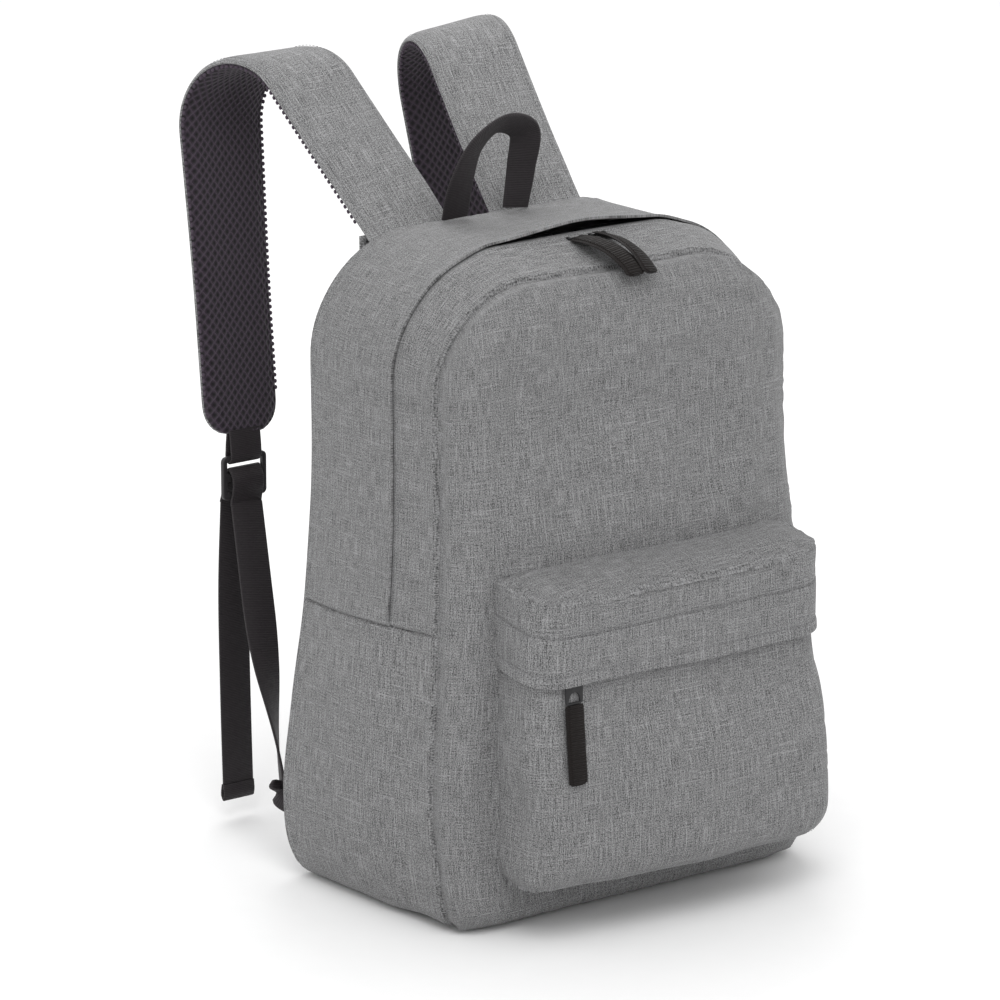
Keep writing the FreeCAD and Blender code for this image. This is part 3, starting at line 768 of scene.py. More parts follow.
def plate(
    name: str,
    outlines: Sequence[Sequence[Sequence[float]]],
    thick: float,
    round_edge: float,
    axes: Sequence[Sequence[float]],
    origin: Sequence[float],
) -> bpy.types.Object:
    """A flat plate with holes and rounded edges.

    Args:
        name: The object's name.
        outlines: The outer line and the lines of its holes, in the plate's plane.
        thick: The plate's thickness.
        round_edge: Radius of its edges.
        axes: Directions of the plate's width, height and thickness.
        origin: Where the plate's (0, 0) is.

    Returns:
        The closed piece.
    """
    flat = bpy.data.curves.new(name, "CURVE")
    flat.dimensions = "2D"
    flat.fill_mode = "BOTH"
    flat.extrude = thick / 2 - round_edge
    flat.bevel_depth = round_edge
    flat.bevel_resolution = 2
    flat.offset = -round_edge
    for line in outlines:
        spline = flat.splines.new("POLY")
        spline.points.add(len(line) - 1)
        spline.points.foreach_set("co", [c for x, y in line for c in (x, y, 0, 1)])
        spline.use_cyclic_u = True
    carrier = bpy.data.objects.new(name, flat)
    bpy.context.scene.collection.objects.link(carrier)
    bpy.context.view_layer.update()
    mesh = bpy.data.meshes.new_from_object(carrier.evaluated_get(bpy.context.evaluated_depsgraph_get()))
    bpy.data.objects.remove(carrier)
    verts = np.zeros(len(mesh.vertices) * 3)
    mesh.vertices.foreach_get("co", verts)
    verts = verts.reshape(-1, 3)
    keys, owner = np.unique(np.round(verts, 7), axis=0, return_inverse=True)
    owner = owner.ravel()
    faces = []
    for polygon in mesh.polygons:
        ring = [int(owner[i]) for i in polygon.vertices]
        ring = [a for a, b in zip(ring, ring[1:] + ring[:1]) if a != b]
        if len(set(ring)) > 2:
            faces.append(ring)
    placed = np.asarray(origin) + keys @ np.asarray(axes, dtype=float)
    bpy.data.meshes.remove(mesh)
    return make_object(name, placed, faces, keys[:, :2])


def rounded_rectangle(
    low: Sequence[float], high: Sequence[float], radius: float, steps: int = 5
) -> list[tuple[float, float]]:
    """The line round a rectangle with rounded corners."""
    (x0, y0), (x1, y1) = low, high
    centres = ((x1 - radius, y0 + radius), (x1 - radius, y1 - radius), (x0 + radius, y1 - radius), (x0 + radius, y0 + radius))
    line = []
    for start, (cx, cy) in zip((-90, 0, 90, 180), centres):
        for angle in np.linspace(start, start + 90, steps):
            turn = math.radians(angle)
            line.append((cx + radius * math.cos(turn), cy + radius * math.sin(turn)))
    return line


def d_window(half: float, low: float, high: float, steps: int = 10) -> list[tuple[float, float]]:
    """A window with a flat foot and a round top."""
    line = [(-half, low), (half, low)]
    for angle in np.linspace(0, 180, steps):
        turn = math.radians(angle)
        line.append((half * math.cos(turn), low + 0.0006 + (high - low - 0.0006) * math.sin(turn)))
    return line


@dataclass(frozen=True)
class Stuffing:
    """A short cloth simulation that lets a sewn panel settle over what it holds."""

    pressure: float
    slack: float = 0.012
    frames: int = 20
    cap: float = 0.006
    quality: int = 4

    def settle(self, name: str, grid: np.ndarray, held: np.ndarray) -> np.ndarray:
        """Simulates a grid whose held points stay put.

        Args:
            name: Name of the scratch object.
            grid: Points of the cloth, rows by columns.
            held: How firmly each point is held, from 0 to 1.

        Returns:
            The grid after it has settled, no point moved by more than the cap.
        """
        rows, cols = grid.shape[:2]
        mesh = bpy.data.meshes.new(name)
        mesh.from_pydata(grid.reshape(-1, 3).tolist(), [], grid_quads(rows, cols).tolist())
        thing = bpy.data.objects.new(name, mesh)
        scene = bpy.context.scene
        scene.collection.objects.link(thing)
        group = thing.vertex_groups.new(name="held")
        for number, weight in enumerate(held.ravel()):
            if weight > 0:
                group.add([number], float(weight), "REPLACE")
        modifier = thing.modifiers.new("Cloth", "CLOTH")
        cloth = modifier.settings
        cloth.quality = self.quality
        cloth.mass = 0.25
        cloth.tension_stiffness = 20
        cloth.compression_stiffness = 12
        cloth.shear_stiffness = 4
        cloth.bending_stiffness = 0.35
        cloth.air_damping = 2.0
        cloth.vertex_group_mass = "held"
        cloth.shrink_min = -self.slack
        cloth.use_pressure = True
        cloth.uniform_pressure_force = self.pressure
        cloth.effector_weights.gravity = 0.0
        modifier.point_cache.frame_start = 1
        modifier.point_cache.frame_end = self.frames
        for number in range(1, self.frames + 1):
            scene.frame_set(number)
        graph = bpy.context.evaluated_depsgraph_get()
        result = np.zeros(rows * cols * 3)
        thing.evaluated_get(graph).data.vertices.foreach_get("co", result)
        scene.frame_set(1)
        bpy.data.objects.remove(thing)
        bpy.data.meshes.remove(mesh)
        move = result.reshape(grid.shape) - grid
        size = np.linalg.norm(move, axis=-1, keepdims=True)
        move = move * np.minimum(1.0, self.cap / np.maximum(size, 1e-9))
        return grid + move * (1 - held[..., None])


# the bag's form -----------------------------------------------------------------------------------


@dataclass(frozen=True)
class Outline:
    """The arched outline of the bag seen from the front."""

    half: float
    height: float
    top: float
    base: float

    @property
    def flat(self) -> float:
        """Half the length of the straight top."""
        return self.half - self.top

    @property
    def shoulder(self) -> float:
        """Distance along the outline from the top's middle to the end of its arc."""
        return self.flat + self.top * math.pi / 2

    def down_to(self, z: float) -> float:
        """Distance along the outline from the top's middle to a height on the straight side."""
        return self.shoulder + (self.height - self.top - z)

    @property
    def total(self) -> float:
        """Distance from the top's middle to the base's middle."""
        return self.down_to(self.base) + self.base * math.pi / 2 + self.half - self.base

    def at(self, s: np.ndarray) -> tuple[np.ndarray, np.ndarray, np.ndarray, np.ndarray]:
        """Points and outward directions along the outline.

        Args:
            s: Distances from the top's middle, positive to the right.

        Returns:
            x, z, and the outward direction's x and z.
        """
        side, d = np.where(s < 0, -1.0, 1.0), np.abs(s)
        arc = np.clip((d - self.flat) / self.top, 0, math.pi / 2)
        foot_start = self.down_to(self.base)
        foot = np.clip((d - foot_start) / self.base, 0, math.pi / 2)
        x = np.minimum(d, self.flat) + self.top * np.sin(arc)
        z = self.height - self.top * (1 - np.cos(arc))
        z = z - np.clip(d - self.shoulder, 0, self.height - self.top - self.base)
        x = x - self.base * (1 - np.cos(foot)) - np.maximum(d - foot_start - self.base * math.pi / 2, 0)
        z = z - self.base * np.sin(foot)
        turn = arc + foot
        return side * x, z, side * np.sin(turn), np.cos(turn)

    def width_at(self, z: np.ndarray) -> np.ndarray:
        """Half the outline's width at a height."""
        low = np.clip(self.base - z, 0, self.base)
        high = np.clip(z - (self.height - self.top), 0, self.top)
        return (
            self.half
            - (self.base - np.sqrt(self.base**2 - low**2))
            - (self.top - np.sqrt(self.top**2 - high**2))
        )

    def depth_inside(self, x: np.ndarray, z: np.ndarray) -> tuple[np.ndarray, np.ndarray, np.ndarray]:
        """Distance inside the outline, and the direction towards its nearest point."""
        middle = self.height / 2
        radius = np.where(z > middle, self.top, self.base)
        qx = np.abs(x) - self.half + radius
        qz = np.abs(z - middle) - middle + radius
        reach = np.hypot(np.maximum(qx, 0), np.maximum(qz, 0))
        distance = radius - reach - np.minimum(np.maximum(qx, qz), 0)
        corner = reach > 1e-9
        dx = np.where(corner, np.maximum(qx, 0) / np.maximum(reach, 1e-9), qx >= qz)
        dz = np.where(corner, np.maximum(qz, 0) / np.maximum(reach, 1e-9), qx < qz)
        return np.maximum(distance, 0), dx * np.sign(x), dz * np.sign(z - middle)


@dataclass(frozen=True)
class Crease:
    """The shallow valley that a sewn seam pulls into the cloth, with puckers beside it."""

    depth: float = 0.0018
    reach: float = 0.0010
    pucker: float = 0.0005

    def __call__(self, distance: np.ndarray, along: Optional[np.ndarray] = None) -> np.ndarray:
        """How far the cloth stands out beside a seam.

        Args:
            distance: Distances from the seam.
            along: Distances along the seam, for the puckers.

        Returns:
            Heights, below zero where the cloth is pulled in.
        """
        valley = -self.depth * np.exp(-((distance / self.reach) ** 2))
        lip = 0.2 * self.depth * np.exp(-(((distance - 2.4 * self.reach) / self.reach) ** 2))
        if along is None:
            return valley + lip
        wave = np.sin(along * 430.0 + 2.6 * np.sin(along * 83.0)) * np.sin(along * 37.0 + 1.0)
        near = np.exp(-(((distance - 0.006) / 0.005) ** 2))
        return valley + lip + self.pucker * wave * near


SEAM = Crease(0.0030, 0.0011, 0.0007)


@dataclass
class BagForm:
    """The filled bag: its outline, its depth and how the cloth gives."""

    top_radius: float = 0.080
    base_radius: float = 0.011
    front_inset: float = 0.0036
    flap_edge: float = -0.027
    front_seam: float = -0.066
    side_seam: float = 0.193
    seam_rise: float = 0.007
    belly: float = 0.024
    half: float = field(init=False)
    height: float = field(init=False)
    back: float = field(init=False)
    front: float = field(init=False)
    outline: Outline = field(init=False)
    front_outline: Outline = field(init=False)

    def __post_init__(self) -> None:
        """Takes the main sizes from the frame."""
        low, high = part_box("back_panel")
        self.half, self.height, self.back = high.x, high.z, high.y
        self.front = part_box("front_panel")[0].y
        self.outline = Outline(self.half, self.height, self.top_radius, self.base_radius)
        inset = self.front_inset
        self.front_outline = Outline(
            self.half - inset, self.height - inset, self.top_radius - inset, self.base_radius
        )
        self.back_swell = Ease(
            (0, 0.02, 0.055, 0.12, 0.193, 0.25, 0.40, 0.44),
            (0.001, 0.0095, 0.012, 0.0085, 0.001, -0.0045, -0.005, -0.004),
        )
        self.front_swell = Ease(
            (0, 0.02, 0.06, 0.12, 0.193, 0.25, 0.40, 0.44),
            (-0.004, 0.003, 0.0085, 0.0075, 0.002, -0.002, -0.003, -0.002),
        )
        self.back_belly = Ease((0, 0.05, 0.12, 0.193, 0.25, 0.44), (0.004, 0.012, 0.008, 0.002, 0, 0))
        self.front_belly = Ease(
            (0, 0.04, 0.10, 0.193, 0.25, 0.35, 0.44), (0.013, 0.017, 0.014, 0.006, 0.002, 0, 0)
        )
        self.front_share = Ease((-0.104, -0.09, -0.066, -0.03, 0.0), (0.1, 0.3, 1.0, 0.5, 0.0))
        self.unevenness = tuple(
            Ripple(seed, (0.075, 0.06, 0.085), depth)
            for seed, depth in ((11, 0.0016), (12, 0.0019), (13, 0.0012))
        )

    def soften(self, p: np.ndarray, lift: float = 0.0) -> np.ndarray:
        """Moves points of the drawn bag to where the filled cloth lies.

        Args:
            p: Points on the drawn bag.
            lift: How far the middle of the rain flap's edge stands up.

        Returns:
            The moved points.
        """
        x, y, z = p[..., 0], p[..., 1], p[..., 2]
        depth = np.clip((y - self.front_seam) / (self.back - self.front_seam), 0, 1)
        swell = self.front_swell(z) * (1 - depth) + self.back_swell(z) * depth
        middle = np.sin(math.pi * depth) * smooth((0.44 - z) / 0.1) * smooth(z / 0.05)
        new_x = x * (1 + (swell + 0.0035 * middle) / self.half)
        new_y = y + self.back_belly(z) * np.clip(y / self.back, 0, 1)
        new_y = new_y - self.front_belly(z) * self.front_share(y) * smooth((0.44 - z) / 0.05)
        top = smooth((z - 0.34) / 0.09)
        behind = np.clip((y - self.flap_edge) / (self.back - self.flap_edge), 0, 1)
        drop = -0.006 * behind**0.8 - 0.003 * (1 - behind) * smooth((np.abs(x) - 0.065) / 0.03)
        crown = lift * np.exp(-(((x - 0.004) / 0.050) ** 2)) * (1 - behind) ** 2.2
        ahead = np.clip((self.flap_edge - 0.004 - y) / (self.flap_edge - 0.004 - self.front_seam), 0, 1)
        new_z = z + top * (np.where(y > self.flap_edge - 0.002, drop, -0.002 - 0.009 * ahead) + crown)
        upper = smooth((z - 0.21) / 0.13)
        new_y = new_y + 0.009 * upper * smooth((self.front_seam - 0.004 - y) / 0.028)
        new_x = new_x - 0.0055 * upper * smooth(x / 0.1) * smooth((self.front_seam + 0.03 - y) / 0.04)
        moved = np.stack([new_x, new_y, new_z], axis=-1)
        wave = np.stack([ripple(p) for ripple in self.unevenness], axis=-1)
        steady = smooth(z / 0.03)[..., None]
        return moved + wave * steady

    def skin(
        self,
        s: np.ndarray,
        y: np.ndarray,
        inset: np.ndarray,
        rise: np.ndarray = 0.0,
        lift: float = 0.0,
    ) -> np.ndarray:
        """Points on the bag's outer wall.

        Args:
            s: Distances along the outline.
            y: Depths.
            inset: How far each point lies inside the outline.
            rise: Extra height of each point.
            lift: How far the rain flap's edge stands up.

        Returns:
            The softened points.
        """
        x, z, nx, nz = self.outline.at(s)
        flat = np.stack([x - nx * inset, y + 0 * x, z - nz * inset + rise], axis=-1)
        return self.soften(flat, lift)

    def seam_height(self, y: np.ndarray) -> np.ndarray:
        """How far the side seam rises towards the front."""
        return self.seam_rise * smooth((self.back - y) / (self.back - self.front_seam))

    def wall_inset(self, y: np.ndarray) -> np.ndarray:
        """How far the lower side lies inside the outline, so that it meets flap and gusset."""
        return self.front_inset * smooth((self.flap_edge + 0.012 - y) / 0.03)


@dataclass
class PanelForm:
    """A front or back panel: flat in the middle, with its edge turned to the seam."""

    form: BagForm
    outline: Outline
    seam_y: float
    depth: float
    turn: float
    step: float = 0.0042
    firm_foot: float = 1.2

    def grid(self) -> tuple[np.ndarray, np.ndarray, np.ndarray]:
        """Lays out the panel.

        Returns:
            Points before softening, cloth coordinates, and distances from the seam.
        """
        arc = np.linspace(0, math.pi / 2, 11)
        edge = self.turn * (1 - np.cos(arc))
        rows = spaced(0, self.outline.height, self.step, tuple(edge[1:]))
        half = self.outline.half
        cols = spaced(-half, half, self.step, tuple(edge[1:])) / half
        z = np.broadcast_to(rows[:, None], (len(rows), len(cols)))
        x = self.outline.width_at(z) * cols[None, :]
        inside, dx, dz = self.outline.depth_inside(x, z)
        tighter = 1 + self.firm_foot * smooth((0.05 - z) / 0.03) * smooth((self.outline.half - np.abs(x) - 0.008) / 0.03)
        share = np.minimum(inside * tighter / self.turn, 1)
        y = self.seam_y + self.depth * np.sqrt(np.maximum(1 - (1 - share) ** 2, 0))
        angle = np.arccos(1 - share)
        extra = np.maximum((math.pi / 2 - angle) * (self.turn + abs(self.depth)) / 2 - (self.turn - np.minimum(inside, self.turn)), 0)
        uv = np.stack([x + dx * extra, z + dz * extra], axis=-1)
        return np.stack([x, y, z], axis=-1), uv, inside


CLOTH = 0.0016


@dataclass
class MainBag:
    """The main compartment's panels, gussets, base, back and lining pieces."""

    form: BagForm
    finishes: Finishes
    repeat: LineRepeat
    crease: Crease = Crease()
    hem: float = 0.007
    lift: float = 0.0065

    def build(self) -> None:
        """Makes and dresses every piece of the main bag."""
        self.front_panel()
        self.back_panel()
        self.back_layers()
        self.gussets()
        self.sides()
        self.sleeve()
        self.yoke()
        self.anchors()
        dress_cad("base_board", self.finishes.board)

    def front_panel(self) -> None:
        """The domed front panel, settled over its contents."""
        form = self.form
        panel = PanelForm(form, form.front_outline, form.front_seam, form.front - form.front_seam, form.belly)
        flat, uv, inside = panel.grid()
        swell = Ripple(21, (0.11, 1.0, 0.13), 0.0028)(flat) + Ripple(22, (0.035, 1.0, 0.06), 0.0012)(flat)
        inner = smooth(inside / 0.06)
        flat[..., 1] -= inner * (0.003 + swell)
        points = form.soften(flat)
        held = 1 - smooth((inside - 0.008) / 0.03)
        points = Stuffing(pressure=0.35, slack=0.01).settle("front panel cloth", points, held)
        points = pulled_in(points, SEAM(inside, uv[..., 0] * 0.8 + uv[..., 1]), (0, 0, 0.2))
        piece = cloth_shell("front_panel_cloth", points, uv, CLOTH, (0, 0, 0.2))
        seat(piece, self.finishes.cloth, Slot.CLOTH, PACK, "front_panel")

    def back_panel(self) -> None:
        """The back panel of grey cloth, with its seam round the edge."""
        form = self.form
        panel = PanelForm(form, form.outline, form.back - 0.004, 0.004, 0.010, 0.006)
        flat, uv, inside = panel.grid()
        points = pulled_in(form.soften(flat), self.crease(inside), (0, 0, 0.2))
        piece = cloth_shell("back_panel_cloth", points, uv, CLOTH, (0, 0, 0.2))
        seat(piece, self.finishes.cloth, Slot.CLOTH, PACK, "back_panel")

    def back_layers(self) -> None:
        """The foam inside the back and the mesh pad outside it."""
        form = self.form
        inner = Outline(form.half - 0.011, form.height - 0.012, form.top_radius - 0.010, 0.020)
        panel = PanelForm(form, inner, form.back - 0.007, 0.001, 0.002, 0.008)
        flat, uv, _ = panel.grid()
        flat[..., 2] += 0.006
        piece = cloth_shell("back_foam_sheet", form.soften(flat), uv, 0.005, (0, 0, 0.2))
        seat(piece, self.finishes.foam, Slot.FOAM, PACK, "back_foam")

        low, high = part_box("back_mesh")
        radius = 0.040
        shape = Outline(high.x, high.z - low.z, radius, radius)
        panel = PanelForm(form, shape, form.back + 0.0002, high.y - form.back, 0.009, 0.004)
        flat, uv, inside = panel.grid()
        lines = np.minimum.reduce(
            [
                np.abs(np.abs(flat[..., 0]) - 0.042),
                np.abs(flat[..., 2] - shape.height * 0.34) + 0.02 * (np.abs(flat[..., 0]) < 0.042),
                np.abs(flat[..., 2] - shape.height * 0.68) + 0.02 * (np.abs(flat[..., 0]) < 0.042),
            ]
        )
        channel = np.exp(-((lines / 0.005) ** 2)) * smooth(inside / 0.015)
        flat[..., 1] -= 0.0042 * channel
        flat[..., 2] += low.z
        points = form.soften(flat)
        held = np.maximum(1 - smooth(inside / 0.012), channel)
        points = Stuffing(pressure=1.2, slack=0.0, cap=0.002).settle("back pad cloth", points, held)
        piece = cloth_shell("back_pad_mesh", points, uv, 0.0022, (0, 0, 0.2))
        seat(piece, self.finishes.mesh, Slot.MESH, PACK, "back_mesh", "back_pad_core")
        self.pad_binding(shape, low.z)

    def pad_binding(self, shape: Outline, low: float) -> None:
        """The webbing that binds the back pad's edge."""
        s = np.linspace(-shape.total, shape.total, 260, endpoint=False)
        x, z, nx, nz = shape.at(s)
        flat = np.stack([x, np.full_like(x, self.form.back + 0.0016), z + low], axis=-1)
        centre = self.form.soften(flat)
        centre = np.concatenate([centre, centre[:1]])
        outward = np.stack([nx, 0 * nx, nz], axis=-1)
        outward = np.concatenate([outward, outward[:1]])
        forward = square_to(tangents(centre), np.array([0.0, 1.0, 0.0]))
        side = square_to(tangents(centre), outward)
        section = np.array([(-0.004, -0.001), (0.0035, -0.001), (0.0042, 0.0002), (0.0035, 0.0014), (-0.003, 0.0016), (-0.0042, 0.0004)])
        piece = sweep("back_pad_binding", centre, side, forward, section)
        seat(piece, self.finishes.webbing, Slot.WEBBING, PACK)

    def gussets(self) -> None:
        """The arch behind the zip with its rain flap, and the arch in front of it."""
        form, line = self.form, self.form.outline
        reach = line.down_to(form.side_seam)
        s = spaced(-reach, reach, 0.0042, SEAM_STEPS)
        y = np.concatenate([[form.flap_edge, form.flap_edge + 0.0008], spaced(form.flap_edge + 0.002, form.back - 0.0042, 0.0036, SEAM_STEPS)])
        ss, yy = np.meshgrid(s, y, indexing="ij")
        ends = (reach - np.abs(ss))
        rise = form.seam_height(yy) * smooth(1 - ends / 0.05)
        seam = self.crease(ends) + self.crease(form.back - 0.0042 - yy, ss)
        from_edge = yy - form.flap_edge
        fold = 0.0007 * smooth((self.hem - from_edge) / 0.002) - 0.0006 * np.exp(-(((from_edge - self.hem) / 0.0009) ** 2))
        inset = -seam - fold * smooth(ends / 0.01)
        points = form.skin(ss, yy, inset, rise, self.lift)
        uv = np.stack([yy, ss], axis=-1)
        piece = cloth_shell("rear_gusset_cloth", points, uv, CLOTH, (0, 0, 0.2))
        seat(piece, self.finishes.cloth, Slot.CLOTH, PACK, "rear_gusset")

        y = spaced(form.front_seam, form.flap_edge + 0.0045, 0.0036, SEAM_STEPS)
        ss, yy = np.meshgrid(s, y, indexing="ij")
        ends = reach - np.abs(ss)
        rise = form.seam_height(yy) * smooth(1 - ends / 0.05)
        seam = self.crease(ends) + SEAM(yy - form.front_seam, ss)
        inset = form.front_inset - seam - 0.0019 * smooth((yy - form.front_seam - 0.012) / 0.020)
        points = form.skin(ss, yy, inset, rise)
        piece = cloth_shell("front_gusset_cloth", points, np.stack([yy, ss], axis=-1), CLOTH, (0, 0, 0.2))
        seat(piece, self.finishes.cloth, Slot.CLOTH, PACK, "front_gusset")

        s = np.linspace(-reach + 0.004, reach - 0.004, 300)
        rows = [
            form.skin(s, np.full_like(s, form.flap_edge + self.hem), np.full_like(s, 0.0004), 0.0, self.lift)
        ]
        piece = self.repeat.stitch("rain_flap_stitching", rows, self.finishes.thread)
        seat(piece, self.finishes.thread, Slot.CLOTH, PACK)

    def sides(self) -> None:
        """The lower side panels and the base between them."""
        form, line = self.form, self.form.outline
        start, corner = line.down_to(form.side_seam), line.down_to(form.base_radius)
        y = spaced(form.front_seam, form.back - 0.0042, 0.0045, SEAM_STEPS)
        for name, side in SIDES.items():
            s = side * spaced(start, corner + 0.02, 0.0045, SEAM_STEPS)
            ss, yy = np.meshgrid(s, y, indexing="ij")
            ends = np.abs(ss) - start
            rise = form.seam_height(yy) * smooth(1 - ends / 0.05)
            seam = self.crease(ends) + SEAM(yy - form.front_seam, ss) + self.crease(form.back - 0.0042 - yy, ss)
            points = form.skin(ss, yy, form.wall_inset(yy) - seam, rise)
            piece = cloth_shell(f"side_panel_cloth_{name}", points, np.stack([yy, ss], axis=-1), CLOTH, (0, 0, 0.15))
            seat(piece, self.finishes.cloth, Slot.CLOTH, PACK, f"side_panel_{name}")
        s = spaced(corner + 0.02, 2 * line.total - corner - 0.02, 0.006, SEAM_STEPS)
        ss, yy = np.meshgrid(s, y, indexing="ij")
        wrapped = np.where(ss > line.total, ss - 2 * line.total, ss)
        seam = SEAM(yy - form.front_seam, ss) + self.crease(form.back - 0.0042 - yy)
        points = form.skin(wrapped, yy, form.wall_inset(yy) - seam)
        piece = cloth_shell("base_panel_cloth", points, np.stack([yy, ss], axis=-1), CLOTH, (0, 0, 0.15))
        seat(piece, self.finishes.cloth, Slot.CLOTH, PACK, "base_panel")

    def sleeve(self) -> None:
        """The padded sleeve against the back, open at its top."""
        low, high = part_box("inner_sleeve")
        x = spaced(low.x, high.x, 0.008, (0.002, 0.005, 0.009, 0.014))
        z = spaced(low.z + 0.004, high.z, 0.008)
        xx, zz = np.meshgrid(x, z, indexing="ij")
        edge = np.minimum(xx - low.x, high.x - xx)
        bow = 0.014 * np.sqrt(np.clip(1 - (1 - np.minimum(edge / 0.016, 1)) ** 2, 0, 1))
        yy = high.y - 0.001 - bow * smooth((zz - low.z) / 0.03)
        piece = cloth_shell("inner_sleeve_cloth", np.stack([xx, yy, zz], axis=-1), np.stack([xx, zz], axis=-1), CLOTH, (0, 0.2, 0.15))
        seat(piece, self.finishes.lining, Slot.LINING, PACK, "inner_sleeve")

    def yoke(self) -> None:
        """The sewn band that holds the strap roots and the haul loop."""
        low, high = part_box("strap_yoke")
        x = spaced(low.x, high.x, 0.005, SEAM_STEPS)
        z = spaced(low.z, high.z - 0.001, 0.003, SEAM_STEPS)
        xx, zz = np.meshgrid(x, z, indexing="ij")
        edge = np.minimum(np.minimum(xx - low.x, high.x - xx), np.minimum(zz - low.z, high.z - zz))
        yy = np.full_like(xx, high.y + 0.0006) + self.crease(edge - 0.003) * 0.5
        points = self.form.soften(np.stack([xx, yy, zz], axis=-1))
        piece = cloth_shell("strap_yoke_cloth", points, np.stack([xx, zz], axis=-1), CLOTH, (0, 0, 0.3))
        seat(piece, self.finishes.strap_cloth, Slot.CLOTH, PACK, "strap_yoke")
        inner = 0.003
        lines = []
        for height in (low.z + inner, high.z - 0.004):
            across = np.linspace(low.x + inner, high.x - inner, 80)
            flat = np.stack([across, np.full(80, high.y + 0.0006), np.full(80, height)], axis=-1)
            lines.append(self.form.soften(flat))
        piece = self.repeat.stitch("strap_yoke_stitching", lines, self.finishes.thread)
        seat(piece, self.finishes.thread, Slot.CLOTH, PACK)

    def anchors(self) -> None:
        """The webbing tabs in the base corners that hold the strap webbing."""
        for name, side in SIDES.items():
            low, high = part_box(f"strap_anchor_{name}")
            z = (low.z + high.z) / 2
            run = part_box(f"strap_run_{name}")[0]
            path = curve_points(
                (
                    (side * 0.142, self.form.back + 0.006, z + 0.002),
                    (side * 0.151, self.form.back + 0.0155, z + 0.001),
                    (side * 0.1535, run.y + 0.0035, z + 0.003),
                    (side * 0.1525, run.y + 0.009, z + 0.012),
                ),
                24,
            )
            along = tangents(path)
            across = square_to(along, np.array([0.0, 0.45, 1.0]))
            taper = np.linspace(1.0, 0.72, len(path))
            section = band_section(0.020, 0.0034)
            rings = np.stack([section * (share, 1.0) for share in taper])
            piece = sweep(f"strap_anchor_tab_{name}", path, across, np.cross(along, across), rings)
            seat(piece, self.finishes.webbing, Slot.WEBBING, PACK, f"strap_anchor_{name}")


def pulled_in(points: np.ndarray, amount: np.ndarray, inside: Sequence[float]) -> np.ndarray:
    """Moves each point along its outward normal by an amount."""
    normal = surface_normals(points)
    if np.sum(normal * (points - np.asarray(inside))) < 0:
        normal = -normal
    return points + normal * amount[..., None]


def dress_cad(node: str, finish: bpy.types.Material) -> None:
    """Gives a kept CAD node its finish."""
    dress(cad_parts[node], finish)
    LOG.info("%s: kept", node)


# main zip -----------------------------------------------------------------------------------------


